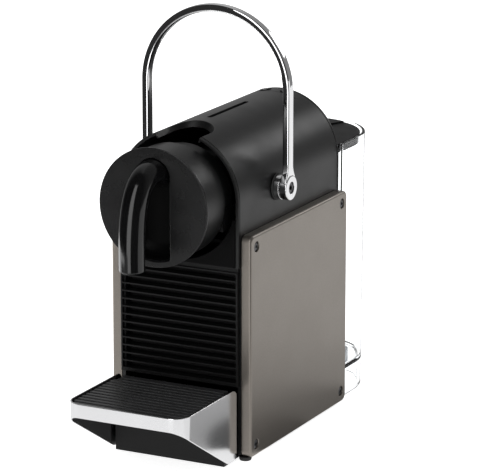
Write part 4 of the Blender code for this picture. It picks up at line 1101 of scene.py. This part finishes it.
def studio():
    """White surround for the eye and for diffuse light; a darker room with soft cards for reflections."""
    world = bpy.data.worlds.new("studio")
    scene.world = world
    world.use_nodes = True
    tree = world.node_tree
    plain = tree.nodes["Background"]
    plain.inputs["Color"].default_value = (1, 1, 1, 1)
    plain.inputs["Strength"].default_value = 1.0
    room = add(tree, "Background")
    around = add(tree, "TexGradient")
    around.gradient_type = "RADIAL"
    link(add(tree, "TexCoord").outputs["Generated"], around.inputs["Vector"])
    ramp = add(tree, "ValToRGB")
    elements = ramp.color_ramp.elements
    levels = ((-90, 0.02), (0, 0.03), (75, 0.04), (110, 0.20), (185, 0.26), (207, 0.46), (230, 0.40),
              (269.9, 0.02))
    while len(elements) < len(levels):
        elements.new(0.5)
    for element, (azimuth, level) in zip(elements, levels):
        element.position = 0.25 + azimuth / 360
        element.color = (level, level, level, 1)
    link(around.outputs["Fac"], ramp.inputs["Fac"])
    link(ramp.outputs["Color"], room.inputs["Color"])
    ray = add(tree, "LightPath")
    mirror = add(tree, "Math")
    mirror.operation = "SUBTRACT"
    mirror.use_clamp = True
    link(ray.outputs["Is Glossy Ray"], mirror.inputs[0])
    link(ray.outputs["Is Transmission Ray"], mirror.inputs[1])
    mix = add(tree, "MixShader")
    link(mirror.outputs["Value"], mix.inputs["Fac"])
    link(plain.outputs["Background"], mix.inputs[1])
    link(room.outputs["Background"], mix.inputs[2])
    link(mix.outputs["Shader"], tree.nodes["World Output"].inputs["Surface"])
    softbox("rear_light", 160, 22, 2.5, 0.75, 0.60, 3.4)
    curtain("front_light", (-17, 12), 1.6, (-0.45, 2.6), 2.4)
    curtain("left_light", (-107, -31), 0.66, (-0.36, 0.03), 3.2)
    curtain("right_light", (71, 128), 1.4, (-0.60, 0.30), 1.0)
    paper("floor_near", (-178, 50), (0.0, 0.40), 0.95)
    paper("floor_side_near", (50, 112), (0.0, 0.10), 0.08)
    paper("floor_side_mid", (50, 112), (0.10, 0.15), 0.35)
    paper("floor_side", (50, 112), (0.15, 0.40), 0.85)
    paper("floor_front", (-60, -8), (0.45, 0.86), 0.45)
    paper("floor_rear_near", (112, 178), (0.14, 0.24), 0.62)
    paper("floor_rear_mid", (112, 178), (0.24, 0.40), 0.85)
    paper("floor_rear", (100, 178), (0.40, 2.2), 0.95)
    scene.view_settings.view_transform = "Standard"


def camera():
    data = bpy.data.cameras.new("camera")
    data.lens = 233.9
    data.sensor_width = 36.0
    data.clip_end = 50
    eye = bpy.data.objects.new("camera", data)
    scene.collection.objects.link(eye)
    eye.location = (0.9954, -1.93645, 0.7084)
    eye.rotation_euler = (radians(90 - 14.6), 0, radians(27.02))
    scene.camera = eye


# ---- build

camera()
studio()
stage_floor()
for side, word, letter in ((-1, "left", "l"), (1, "right", "r")):
    side_panel(side, word)
    for place, spot in screw_spots().items():
        panel_screw(side, letter, place, spot)
    lever_hub(side, word)
    hub_screw(side, word)
    foot("foot_pad_front_" + word, "foot_front_" + word)
    foot("foot_pad_rear_" + word, "foot_rear_" + word)
upper_housing()
control_insert()
for bars, word in enumerate(("left", "right")):
    button("button_" + word, bars)
for build in (front_fascia, rear_cover, head_disc, head_drum, coffee_spout, lever_handle, capsule_container,
              drip_base, cup_support, cup_grid, water_tank, tank_seal, tank_valve, tank_lid, paint_cad):
    build()
